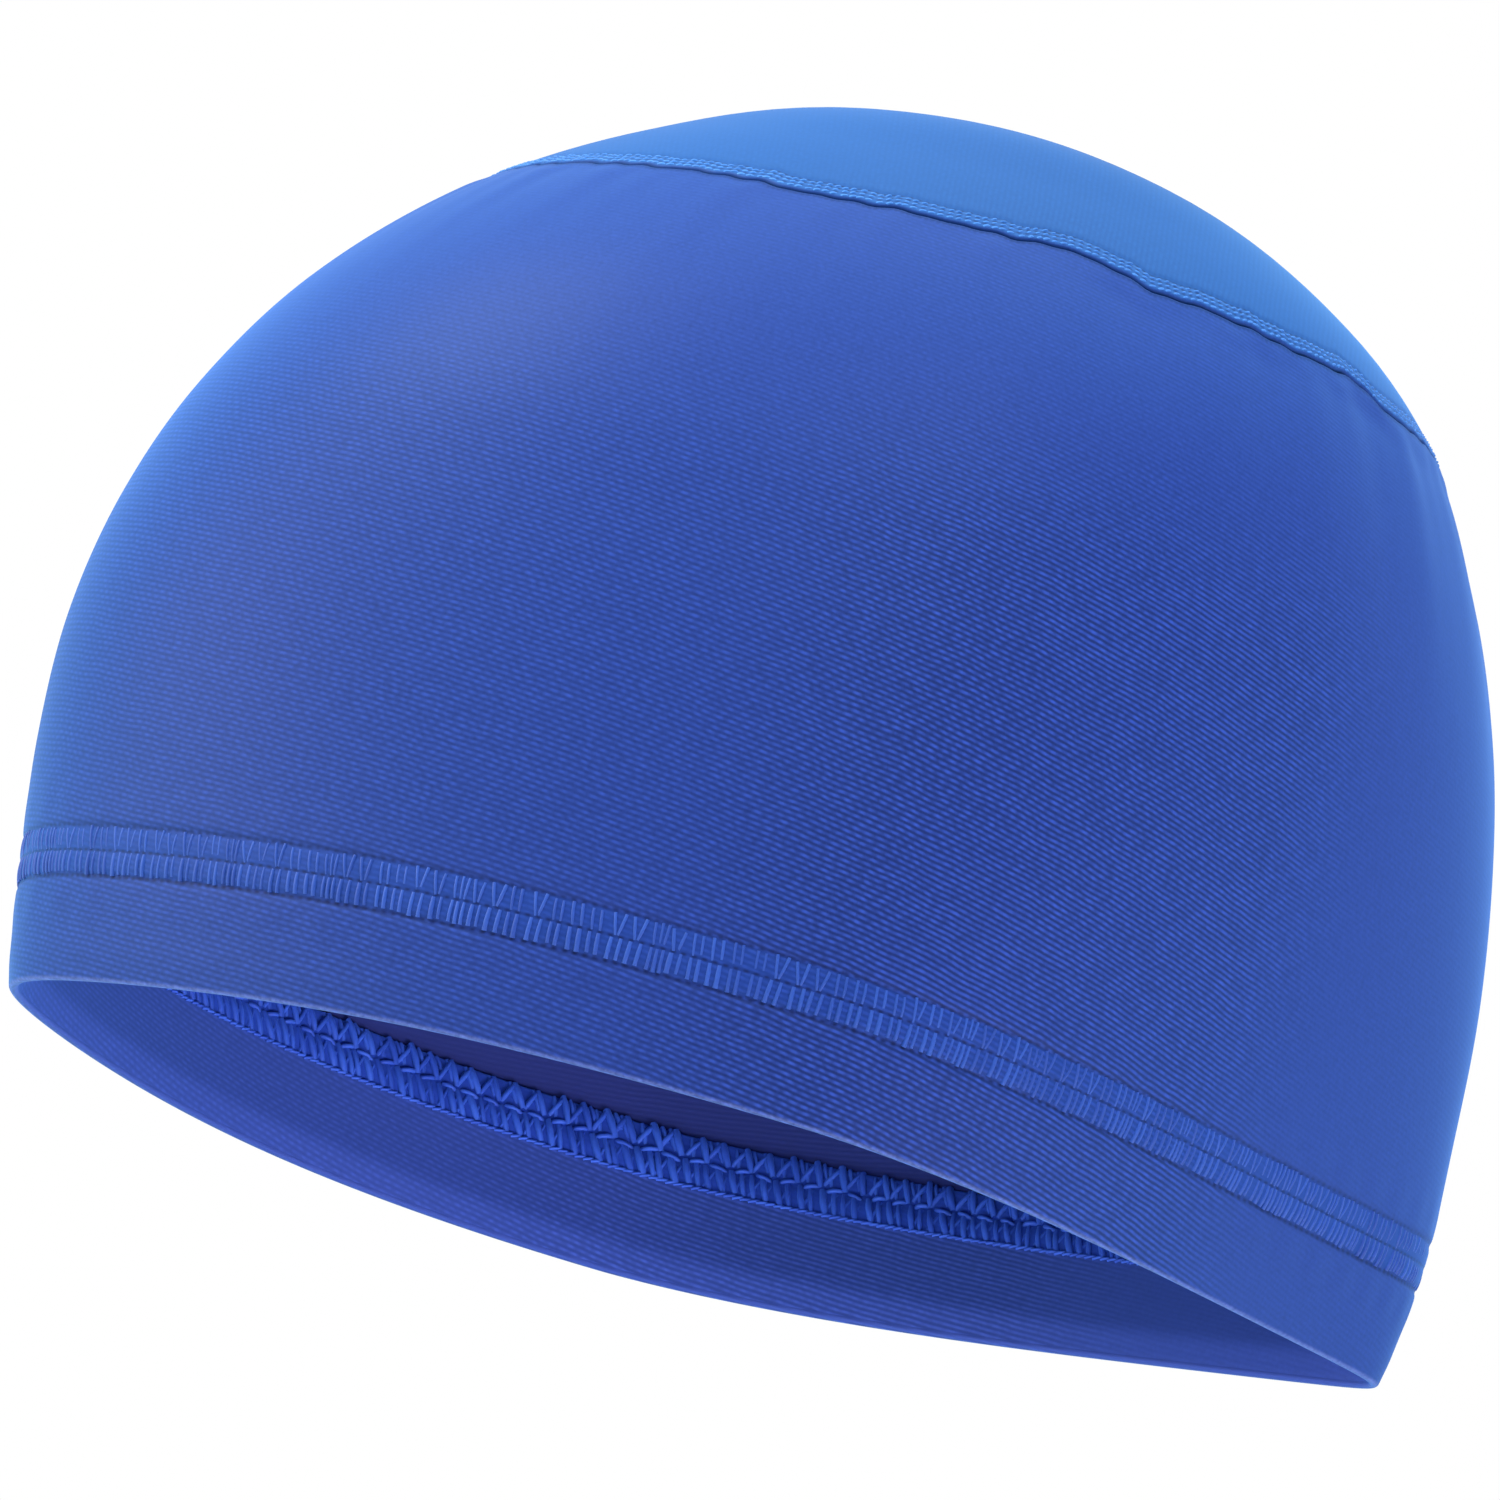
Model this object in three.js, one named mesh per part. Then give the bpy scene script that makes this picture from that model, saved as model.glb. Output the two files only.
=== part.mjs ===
// A thin stretch-knit cooling cap in its worn form, hollow for the head.
// Millimetres. +Z runs up to the crown, -Y is the front and +X is the wearer's left.
// The origin is the middle of the open rim, level with the lowest stretch of the rim.
import * as THREE from 'three';

// Outside form
const RIM_LENGTH = 200;
const RIM_BREADTH = 152;
const CROWN_HEIGHT = 158;
const RIM_LIFT = 2;
const RIM_LIFT_FADE_HEIGHT = 110;

// Cloth
const SIDE_WALL = 1.2;
const CROWN_WALL = 1.2;
const HEM_WALL = 1.2;
const LAYER_GAP = 0.3;

// Turned-up hem
const HEM_DEPTH = 21.5;

// Crown panel and the lapped seam that joins it to the side panel
const CROWN_PANEL_RISE = 28;
const SEAM_DIP_AT_BACK = 3;
const SEAM_WAVE = 1.2;
const SEAM_LAP = 5;
const TUCK_RUN = 1.5;

// Gathers in the side panel under the crown seam
const GATHER_DEPTH = 0.9;
const GATHER_TAPER = 5;

// Each section from the rim up: height is a share of CROWN_HEIGHT, centre and length are shares of half
// RIM_LENGTH, breadth is a share of half RIM_BREADTH, and frontPinch and backPinch are the shares of the
// breadth that the section loses at its front and back ends.
const SECTIONS = [
  { height: 0, centre: 0, length: 1, breadth: 1, frontPinch: 0.4, backPinch: 0.71 },
  { height: 0.115, centre: -0.005, length: 1.024, breadth: 1.038, frontPinch: 0.3, backPinch: 0.57 },
  { height: 0.232, centre: -0.019, length: 1.033, breadth: 1.062, frontPinch: 0.21, backPinch: 0.45 },
  { height: 0.348, centre: -0.027, length: 1.029, breadth: 1.066, frontPinch: 0.13, backPinch: 0.335 },
  { height: 0.465, centre: -0.028, length: 1.0, breadth: 1.055, frontPinch: 0.06, backPinch: 0.23 },
  { height: 0.58, centre: -0.02, length: 0.946, breadth: 1.022, frontPinch: 0.01, backPinch: 0.14 },
  { height: 0.697, centre: -0.002, length: 0.857, breadth: 0.943, frontPinch: 0, backPinch: 0.07 },
  { height: 0.804, centre: 0.029, length: 0.728, breadth: 0.799, frontPinch: 0, backPinch: 0.02 },
  { height: 0.893, centre: 0.054, length: 0.553, breadth: 0.609, frontPinch: 0, backPinch: 0 },
  { height: 0.963, centre: 0.06, length: 0.322, breadth: 0.38, frontPinch: 0, backPinch: 0 },
  { height: 1, centre: 0.068, length: 0, breadth: 0, frontPinch: 0, backPinch: 0 },
];
const FRONT_PINCH_POWER = 4;
const BACK_PINCH_POWER = 1.6;

// Waves of the seam line, the same on both sides: angle is in degrees from the wearer's side towards the
// back, width is in degrees and rise is a share of SEAM_WAVE.
const SEAM_WAVES = [
  { angle: -26, width: 7, rise: -0.6 },
  { angle: 4, width: 7, rise: 1 },
  { angle: 14, width: 5, rise: -0.7 },
  { angle: 44, width: 6, rise: 1 },
  { angle: 52, width: 5, rise: -0.6 },
];

// Gathers, the same on both sides: angle and width are in degrees as above, depth is a share of
// GATHER_DEPTH and reach is a share of the side panel's height.
const GATHERS = [
  { angle: 11, width: 6, depth: 0.5, reach: 0.3 },
  { angle: 28, width: 6, depth: 0.45, reach: 0.36 },
  { angle: 45, width: 6, depth: 0.8, reach: 0.42 },
  { angle: 60, width: 6, depth: 0.7, reach: 0.4 },
  { angle: 75, width: 6, depth: 1, reach: 0.45 },
];

// Mesh fineness
const ANGLE_STEPS = 96;
const SIDE_ROWS = 13;
const CROWN_ROWS = 10;
const HEM_ROWS = 3;
const SIDE_ROW_CROWDING = 1.3;
const WELD_DISTANCE = 0.001;
const HALVINGS = 30;

const CLOTH_BLUE = { side: 0x3a55ae, crown: 0x4e86dd, hem: 0x2f439a };
const CLOTH_ROUGHNESS = 0.75;

const APEX_ROW = SECTIONS.length - 1;
const COLUMNS = Object.keys(SECTIONS[0]);

// Value of a Catmull-Rom curve through b and c, at the share u from b to c.
function curveBetween(a, b, c, d, u) {
  const linear = (c - a) * u;
  const square = (2 * a - 5 * b + 4 * c - d) * u * u;
  const cube = (3 * b - a - 3 * c + d) * u * u * u;
  return 0.5 * (2 * b + linear + square + cube);
}

// Table row for any index: below the rim it runs on straight, past the apex it mirrors.
function tableValue(column, index) {
  if (index < 0) {
    return 2 * SECTIONS[0][column] - SECTIONS[1][column];
  }
  if (index > APEX_ROW) {
    const mirrored = SECTIONS[2 * APEX_ROW - index][column];
    return column === 'length' || column === 'breadth' ? -mirrored : mirrored;
  }
  return SECTIONS[index][column];
}

// Shares of the section at a fractional row of the table.
function sectionAt(row) {
  const index = Math.min(Math.floor(row), APEX_ROW - 1);
  const share = row - index;
  const section = {};
  for (const column of COLUMNS) {
    const values = [-1, 0, 1, 2].map((step) => tableValue(column, index + step));
    section[column] = curveBetween(...values, share);
  }
  return section;
}

// Fractional row at which the cap reaches a height, found by halving.
function rowAtHeight(height) {
  let low = 0;
  let high = APEX_ROW;
  for (let step = 0; step < HALVINGS; step += 1) {
    const middle = (low + high) / 2;
    if (sectionAt(middle).height * CROWN_HEIGHT < height) {
      low = middle;
    } else {
      high = middle;
    }
  }
  return (low + high) / 2;
}

// Point of the smooth outside form. The angle runs from the wearer's left, over the back.
function formPoint(row, angle) {
  const section = sectionAt(row);
  const along = Math.sin(angle);
  const across = Math.cos(angle);
  const back = section.backPinch * Math.max(0, along) ** BACK_PINCH_POWER;
  const front = section.frontPinch * Math.max(0, -along) ** FRONT_PINCH_POWER;
  const height = section.height * CROWN_HEIGHT;
  const fade = Math.max(0, 1 - height / RIM_LIFT_FADE_HEIGHT);
  return new THREE.Vector3(
    (RIM_BREADTH / 2) * section.breadth * across * (1 - back - front),
    (RIM_LENGTH / 2) * (section.centre + section.length * along),
    height + RIM_LIFT * along * along * fade,
  );
}

// Outward direction of the smooth form.
function outward(row, angle) {
  const rowStep = 0.01;
  const angleStep = 0.01;
  const low = Math.min(row, APEX_ROW - 2 * rowStep);
  const upward = formPoint(low + rowStep, angle).sub(formPoint(low - rowStep, angle));
  const around = formPoint(low, angle + angleStep).sub(formPoint(low, angle - angleStep));
  return around.cross(upward).normalize();
}

// Point of the form moved inwards by an inset.
function capPoint(row, angle, inset) {
  if (row >= APEX_ROW) {
    return formPoint(APEX_ROW, angle).sub(new THREE.Vector3(0, 0, inset));
  }
  return formPoint(row, angle).addScaledVector(outward(row, angle), -inset);
}

function smoothStep(share) {
  const clamped = THREE.MathUtils.clamp(share, 0, 1);
  return clamped * clamped * (3 - 2 * clamped);
}

// Angle from the wearer's nearer side towards the back, in degrees, from -90 at the front to 90.
function sideAngle(angle) {
  return THREE.MathUtils.radToDeg(Math.asin(THREE.MathUtils.clamp(Math.sin(angle), -1, 1)));
}

function bump(angle, row) {
  return Math.exp(-(((sideAngle(angle) - row.angle) / row.width) ** 2));
}

// Height of the crown panel's lower edge, which is the seam line.
function seamHeight(angle) {
  const dip = SEAM_DIP_AT_BACK * Math.max(0, Math.sin(angle)) ** 2;
  const wave = SEAM_WAVES.reduce((sum, row) => sum + row.rise * bump(angle, row), 0);
  return CROWN_HEIGHT - CROWN_PANEL_RISE - dip + SEAM_WAVE * wave;
}

// Depth of the gathers at a height: none at the seam line and above it, and none at their lower end.
function gatherDepth(angle, height) {
  const below = seamHeight(angle) - height;
  const panelHeight = CROWN_HEIGHT - CROWN_PANEL_RISE;
  return GATHERS.reduce((sum, row) => {
    const start = smoothStep(below / GATHER_TAPER);
    const end = 1 - smoothStep(below / (row.reach * panelHeight));
    return sum + GATHER_DEPTH * row.depth * bump(angle, row) * start * end;
  }, 0);
}

// Rows per millimetre of the form at a row, measured up the wall.
function rowsPerMillimetre(row, angle) {
  const step = 0.1;
  return step / formPoint(row - step, angle).distanceTo(formPoint(row, angle));
}

// Cross-section of a cloth wall: points up its outside and back down its inside.
function wallSection(rows, angle, inset, wall) {
  const outside = rows.map((row) => capPoint(row, angle, inset));
  const inside = rows.map((row) => capPoint(row, angle, inset + wall));
  return [...outside, ...inside.reverse()];
}

// The side panel runs from the rim to its top edge. At the seam it tucks in under the crown panel, whose
// outside is flush with it. On the inside the tuck starts lower, so that the wall keeps its thickness.
function sideSection(angle) {
  const edgeRow = rowAtHeight(seamHeight(angle));
  const perMillimetre = rowsPerMillimetre(edgeRow, angle);
  const tuckDepth = CROWN_WALL + LAYER_GAP;
  const innerShift = SIDE_WALL * Math.tan(Math.atan2(tuckDepth, TUCK_RUN) / 2);
  const tuckRow = edgeRow - (LAYER_GAP + TUCK_RUN) * perMillimetre;
  const insetAt = (row) => gatherDepth(angle, sectionAt(row).height * CROWN_HEIGHT);
  const outside = [];
  const inside = [];
  for (let step = 0; step <= SIDE_ROWS; step += 1) {
    const row = tuckRow * (1 - (1 - step / SIDE_ROWS) ** SIDE_ROW_CROWDING);
    const innerRow = step === SIDE_ROWS ? row - innerShift * perMillimetre : row;
    outside.push(capPoint(row, angle, insetAt(row)));
    inside.push(capPoint(innerRow, angle, insetAt(innerRow) + SIDE_WALL));
  }
  const tuckedRow = edgeRow - LAYER_GAP * perMillimetre;
  const topRow = edgeRow + SEAM_LAP * perMillimetre;
  outside.push(capPoint(tuckedRow, angle, tuckDepth), capPoint(topRow, angle, tuckDepth));
  inside.push(capPoint(tuckedRow - innerShift * perMillimetre, angle, tuckDepth + SIDE_WALL));
  inside.push(capPoint(topRow, angle, tuckDepth + SIDE_WALL));
  return [...outside, ...inside.reverse()];
}

// The hem lies inside the side panel, from the rim up.
function hemSection(angle) {
  const topRow = rowAtHeight(HEM_DEPTH);
  const rows = [];
  for (let step = 0; step <= HEM_ROWS; step += 1) {
    rows.push(topRow * (step / HEM_ROWS));
  }
  return wallSection(rows, angle, SIDE_WALL + LAYER_GAP, HEM_WALL);
}

// The crown panel runs from its edge at the seam line to the apex.
function crownSection(angle) {
  const edgeRow = rowAtHeight(seamHeight(angle));
  const rows = [];
  for (let step = 0; step <= CROWN_ROWS; step += 1) {
    rows.push(edgeRow + (APEX_ROW - edgeRow) * (step / CROWN_ROWS));
  }
  return wallSection(rows, angle, 0, CROWN_WALL);
}

// Closed mesh from a cross-section swept once round. Points that meet on the axis become one vertex.
function sweptGeometry(sectionForAngle) {
  const positions = [];
  const sections = [];
  for (let turn = 0; turn < ANGLE_STEPS; turn += 1) {
    const points = sectionForAngle((2 * Math.PI * turn) / ANGLE_STEPS);
    sections.push(points.map((point, place) => {
      const first = turn > 0 ? sections[0][place] : undefined;
      if (first !== undefined && point.distanceTo(new THREE.Vector3(...positions[first])) < WELD_DISTANCE) {
        return first;
      }
      positions.push(point.toArray());
      return positions.length - 1;
    }));
  }
  const indices = [];
  sections.forEach((section, turn) => {
    const next = sections[(turn + 1) % ANGLE_STEPS];
    section.forEach((corner, place) => {
      const after = (place + 1) % section.length;
      const triangles = [[corner, next[place], next[after]], [corner, next[after], section[after]]];
      indices.push(...triangles.filter((triangle) => new Set(triangle).size === 3).flat());
    });
  });
  const geometry = new THREE.BufferGeometry();
  geometry.setAttribute('position', new THREE.Float32BufferAttribute(positions.flat(), 3));
  geometry.setIndex(indices);
  geometry.computeVertexNormals();
  return geometry;
}

function clothPiece(name, sectionForAngle, color) {
  const material = new THREE.MeshStandardMaterial({ color, roughness: CLOTH_ROUGHNESS, metalness: 0 });
  const mesh = new THREE.Mesh(sweptGeometry(sectionForAngle), material);
  mesh.name = name;
  return mesh;
}

const coolingCap = new THREE.Group();
coolingCap.add(clothPiece('side_panel', sideSection, CLOTH_BLUE.side));
coolingCap.add(clothPiece('crown_panel', crownSection, CLOTH_BLUE.crown));
coolingCap.add(clothPiece('hem_band', hemSection, CLOTH_BLUE.hem));

export default coolingCap;
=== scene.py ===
"""Stretch-knit cooling cap in its worn form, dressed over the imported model.

Metres. +Z runs up to the crown, -Y is the front and +X is the wearer's left.
The origin is the middle of the open rim.
"""
import logging
import math
from dataclasses import dataclass
from enum import Enum

import bpy
import numpy as np
from mathutils import Matrix, Vector


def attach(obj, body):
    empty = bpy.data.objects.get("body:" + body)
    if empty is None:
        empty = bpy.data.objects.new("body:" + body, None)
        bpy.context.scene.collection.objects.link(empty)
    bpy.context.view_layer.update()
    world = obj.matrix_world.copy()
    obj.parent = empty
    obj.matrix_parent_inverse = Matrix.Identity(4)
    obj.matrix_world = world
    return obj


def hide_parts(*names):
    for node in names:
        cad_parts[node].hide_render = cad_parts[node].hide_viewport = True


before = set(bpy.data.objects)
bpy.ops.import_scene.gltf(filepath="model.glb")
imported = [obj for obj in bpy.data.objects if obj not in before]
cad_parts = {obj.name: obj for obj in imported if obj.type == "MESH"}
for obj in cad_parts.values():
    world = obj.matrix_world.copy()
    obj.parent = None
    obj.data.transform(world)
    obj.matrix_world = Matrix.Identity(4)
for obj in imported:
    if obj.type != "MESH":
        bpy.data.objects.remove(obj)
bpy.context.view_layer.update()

LOG = logging.getLogger("cooling_cap")
MM = 0.001

# Each section from the rim up, as shares: height of the crown's height, centre along and length of half the
# rim's length, breadth of half the rim's breadth, and what the breadth loses at the front and back ends.
SECTIONS = (
    (0.000, 0.000, 1.000, 1.000, 0.40, 0.710),
    (0.115, -0.005, 1.024, 1.038, 0.30, 0.570),
    (0.232, -0.019, 1.033, 1.062, 0.21, 0.450),
    (0.348, -0.027, 1.029, 1.066, 0.13, 0.335),
    (0.465, -0.028, 1.000, 1.055, 0.06, 0.230),
    (0.580, -0.020, 0.946, 1.022, 0.01, 0.140),
    (0.697, -0.002, 0.857, 0.943, 0.00, 0.070),
    (0.804, 0.029, 0.728, 0.799, 0.00, 0.020),
    (0.893, 0.054, 0.553, 0.609, 0.00, 0.000),
    (0.963, 0.060, 0.322, 0.380, 0.00, 0.000),
    (1.000, 0.068, 0.000, 0.000, 0.00, 0.000),
)
# Waves of the crown seam: angle from the side towards the back and width in degrees, share of the rise.
SEAM_WAVES = ((-26, 7, -0.6), (4, 7, 1.0), (14, 5, -0.7), (44, 6, 1.0), (52, 5, -0.6))
# Gathers under the crown seam: angle and width in degrees, share of the depth, share of the panel's height.
GATHERS = ((11, 6, 0.5, 0.3), (28, 6, 0.45, 0.36), (45, 6, 0.8, 0.42), (60, 6, 0.7, 0.4), (75, 6, 1.0, 0.45))
# Rings of the side panel by the crown seam, in millimetres below it, and on up into the seam allowance.
SEAM_RINGS = (6, 5, 4, 3, 2.4, 1.9, 1.4, 1.1, 0.9, 0.8, 0.7, 0.6, 0.48, 0.36, 0.24, 0.1, -0.9, -2.5, -4.8)
# The same on the panel's inner face, from the edge of the allowance down.
INNER_SEAM_RINGS = (-4.8, -3, -1.5, 0, 0.4, 0.8, 1.1, 1.4, 1.7, 2.0, 2.4, 3.0, 4.0)
# Turn of the side panel that hides between the layers of the hem: inset and distance up, in millimetres.
HIDDEN_TURN = ((1.35, 3.0), (1.6, 2.6), (1.72, 2.0), (1.7, 1.3))
# Turn of the hem's face into the fold: distance up and inset, in millimetres.
FOLD_TURN = ((0.72, 1.69), (0.5, 1.63), (0.4, 1.54), (0.6, 1.2))
# Distance from the seam, in metres, that is given where the seam's ditch can't be seen.
FAR_FROM_SEAM = 0.1

# Painted shade in the knit's needle holes and in the seam's ditch, a painted highlight along the rim's fold,
# and the tint of the knit's sheen.
PAINTED_NEEDLE_SHADOW = "#080e32"
PAINTED_DITCH_SHADOW = "#0b1344"
PAINTED_FOLD_HIGHLIGHT = "#93a4ea"
SHEEN_SHADE = "#4f9ff0"


class Slot(Enum):
    """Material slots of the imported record."""

    SIDE = "side_cloth"
    CROWN = "crown_cloth"
    HEM = "hem_cloth"


def linear(hex_colour: str) -> tuple[float, float, float, float]:
    """Turns an sRGB hex colour to linear red, green, blue and alpha.

    Args:
        hex_colour: Six hex digits, with or without the leading hash.

    Returns:
        The linear colour with alpha 1.
    """
    digits = hex_colour.lstrip("#")
    shares = [int(digits[k:k + 2], 16) / 255 for k in (0, 2, 4)]
    red, green, blue = (c / 12.92 if c <= 0.04045 else ((c + 0.055) / 1.055) ** 2.4 for c in shares)
    return red, green, blue, 1.0


def smooth_step(share: np.ndarray) -> np.ndarray:
    """Smooth rise from 0 to 1 as share goes from 0 to 1."""
    clamped = np.clip(share, 0.0, 1.0)
    return clamped * clamped * (3 - 2 * clamped)


def hump(distance: np.ndarray, width: float) -> np.ndarray:
    """Smooth hump of height 1 at distance 0, about twice the width across."""
    return np.exp(-((distance / width) ** 2))


def add_node(
    tree: bpy.types.NodeTree, kind: str, inputs: dict[int | str, object] | None = None, **settings: object
) -> bpy.types.Node:
    """Adds one node with its settings, values and links.

    Args:
        tree: Node tree that takes the node.
        kind: Blender's identifier of the node.
        inputs: Socket name or index to a value, or to the output socket that it is linked from.
        settings: Properties of the node itself.

    Returns:
        The new node.
    """
    node = tree.nodes.new(kind)
    for key, value in settings.items():
        setattr(node, key, value)
    for key, value in (inputs or {}).items():
        if isinstance(value, bpy.types.NodeSocket):
            tree.links.new(value, node.inputs[key])
        else:
            node.inputs[key].default_value = value
    return node


@dataclass(frozen=True)
class WornForm:
    """Smooth outside form that the stretched cloth takes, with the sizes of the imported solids."""

    rim_length: float = 200 * MM
    rim_breadth: float = 152 * MM
    crown_height: float = 158 * MM
    rim_lift: float = 2 * MM
    rim_lift_fade: float = 110 * MM
    wall: float = 1.2 * MM
    layer_gap: float = 0.3 * MM
    crown_rise: float = 28 * MM
    seam_dip: float = 3 * MM
    seam_wave: float = 1.2 * MM
    tuck_run: float = 0.6 * MM
    tuck_start: float = 0.15 * MM
    seam_uneven: float = 0.1 * MM
    gather_depth: float = 0.9 * MM
    gather_taper: float = 5 * MM
    front_power: float = 4.0
    back_power: float = 1.6

    @property
    def tuck_depth(self) -> float:
        """Depth at which the side panel runs on under the crown panel."""
        return self.wall + self.layer_gap

    def tuck(self, below: np.ndarray) -> np.ndarray:
        """Inset by which the side panel turns in under the crown panel's edge, from its distance below it."""
        return self.tuck_depth * smooth_step((self.tuck_run + self.tuck_start - below) / self.tuck_run)

    @property
    def apex_row(self) -> int:
        """Row of the table that holds the top of the crown."""
        return len(SECTIONS) - 1

    def section(self, rows: np.ndarray) -> list[np.ndarray]:
        """Shares of the section at fractional rows of the table, through a Catmull-Rom curve.

        Args:
            rows: Fractional rows, from 0 at the rim.

        Returns:
            Height, centre, length, breadth, front pinch and back pinch.
        """
        table = np.array(SECTIONS)
        mirrored = table[-2] * np.array([1, 1, -1, -1, 1, 1])
        table = np.vstack([2 * table[0] - table[1], table, mirrored])
        index = np.clip(np.floor(rows), 0, self.apex_row - 1).astype(int)
        u = np.asarray(rows - index)[..., None]
        a, b, c, d = (table[index + step] for step in range(4))
        curve = 2 * b + (c - a) * u + (2 * a - 5 * b + 4 * c - d) * u * u + (d - a + 3 * (b - c)) * u ** 3
        return list(np.moveaxis(0.5 * curve, -1, 0))

    def point(self, rows: np.ndarray, angles: np.ndarray) -> np.ndarray:
        """Points of the form.

        Args:
            rows: Fractional rows of the table.
            angles: Angles in radians, from the wearer's left over the back.

        Returns:
            Points in metres, with x, y and z along the last axis.
        """
        height, centre, length, breadth, front, back = self.section(rows)
        along, across = np.sin(angles), np.cos(angles)
        pinch = back * np.maximum(0, along) ** self.back_power
        pinch = pinch + front * np.maximum(0, -along) ** self.front_power
        rise = height * self.crown_height
        fade = np.maximum(0, 1 - rise / self.rim_lift_fade)
        x = self.rim_breadth / 2 * breadth * across * (1 - pinch)
        y = self.rim_length / 2 * (centre + length * along)
        return np.stack([x, y, rise + self.rim_lift * along * along * fade], axis=-1)

    def outward(self, rows: np.ndarray, angles: np.ndarray) -> np.ndarray:
        """Directions out of the cloth.

        Args:
            rows: Fractional rows of the table.
            angles: Angles of the same points.

        Returns:
            Unit vectors.
        """
        step = 0.01
        low = np.minimum(rows, self.apex_row - 2 * step)
        upward = self.point(low + step, angles) - self.point(low - step, angles)
        around = self.point(low, angles + step) - self.point(low, angles - step)
        normal = np.cross(around, upward)
        return normal / np.linalg.norm(normal, axis=-1, keepdims=True)

    def layer(self, rows: np.ndarray, angles: np.ndarray, inset: np.ndarray | float) -> np.ndarray:
        """Points moved inwards from the form by an inset."""
        depth = np.broadcast_to(np.asarray(inset, float), np.shape(rows))[..., None]
        return self.point(rows, angles) - self.outward(rows, angles) * depth

    def row_at_height(self, heights: np.ndarray) -> np.ndarray:
        """Fractional rows at which the form reaches the heights."""
        rows = np.linspace(0, self.apex_row, 4001)
        return np.interp(heights, self.section(rows)[0] * self.crown_height, rows)

    def climb(self, angles: np.ndarray) -> tuple[np.ndarray, np.ndarray]:
        """Walks up the cloth from the rim to the top of the crown.

        Args:
            angles: Angles of the columns.

        Returns:
            Rows of the form, and the distance climbed to each row at each angle.
        """
        rows = np.linspace(0, self.apex_row, 1201)
        grid = self.point(rows[:, None], angles[None, :])
        steps = np.linalg.norm(np.diff(grid, axis=0), axis=-1)
        return rows, np.vstack([np.zeros(len(angles)), np.cumsum(steps, axis=0)])

    def rows_up(self, distances: np.ndarray, angles: np.ndarray) -> np.ndarray:
        """Rows that lie at distances up the cloth from the rim.

        Args:
            distances: Distances for each ring and angle, of shape rings by angles.
            angles: Angles of the columns.

        Returns:
            Fractional rows of the same shape.
        """
        rows, climbed = self.climb(angles)
        columns = [np.interp(distances[:, k], climbed[:, k], rows) for k in range(len(angles))]
        return np.stack(columns, axis=1)

    def distance_up(self, rows: np.ndarray, angles: np.ndarray) -> np.ndarray:
        """Distance up the cloth from the rim to one row for each angle."""
        dense, climbed = self.climb(angles)
        return np.array([np.interp(rows[k], dense, climbed[:, k]) for k in range(len(angles))])

    def side_angle(self, angles: np.ndarray) -> np.ndarray:
        """Degrees from the wearer's nearer side, from -90 at the front to 90 at the back."""
        return np.degrees(np.arcsin(np.clip(np.sin(angles), -1, 1)))

    def seam_height(self, angles: np.ndarray) -> np.ndarray:
        """Height of the seam line, which is the crown panel's lower edge.

        Args:
            angles: Angles of the columns.

        Returns:
            Height above the rim at each angle.
        """
        aside = self.side_angle(angles)
        wave = sum(rise * hump(aside - angle, width) for angle, width, rise in SEAM_WAVES)
        dip = self.seam_dip * np.maximum(0, np.sin(angles)) ** 2
        uneven = np.sin(41 * angles + 0.4) + np.sin(67 * angles + 1.9) + np.sin(89 * angles + 3.1)
        return self.crown_height - self.crown_rise - dip + self.seam_wave * wave + self.seam_uneven * uneven

    def gathers(self, rows: np.ndarray, angles: np.ndarray) -> np.ndarray:
        """Wide soft gathers of the side panel.

        Args:
            rows: Fractional rows of the table.
            angles: Angles of the same points.

        Returns:
            Depth of the gathers at each point.
        """
        below = self.seam_height(angles) - self.section(rows)[0] * self.crown_height
        aside = self.side_angle(angles)
        depth = np.zeros(np.shape(rows))
        for angle, width, share, reach in GATHERS:
            start = smooth_step(below / self.gather_taper)
            end = 1 - smooth_step(below / (reach * (self.crown_height - self.crown_rise)))
            depth = depth + self.gather_depth * share * hump(aside - angle, width) * start * end
        return depth


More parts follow.
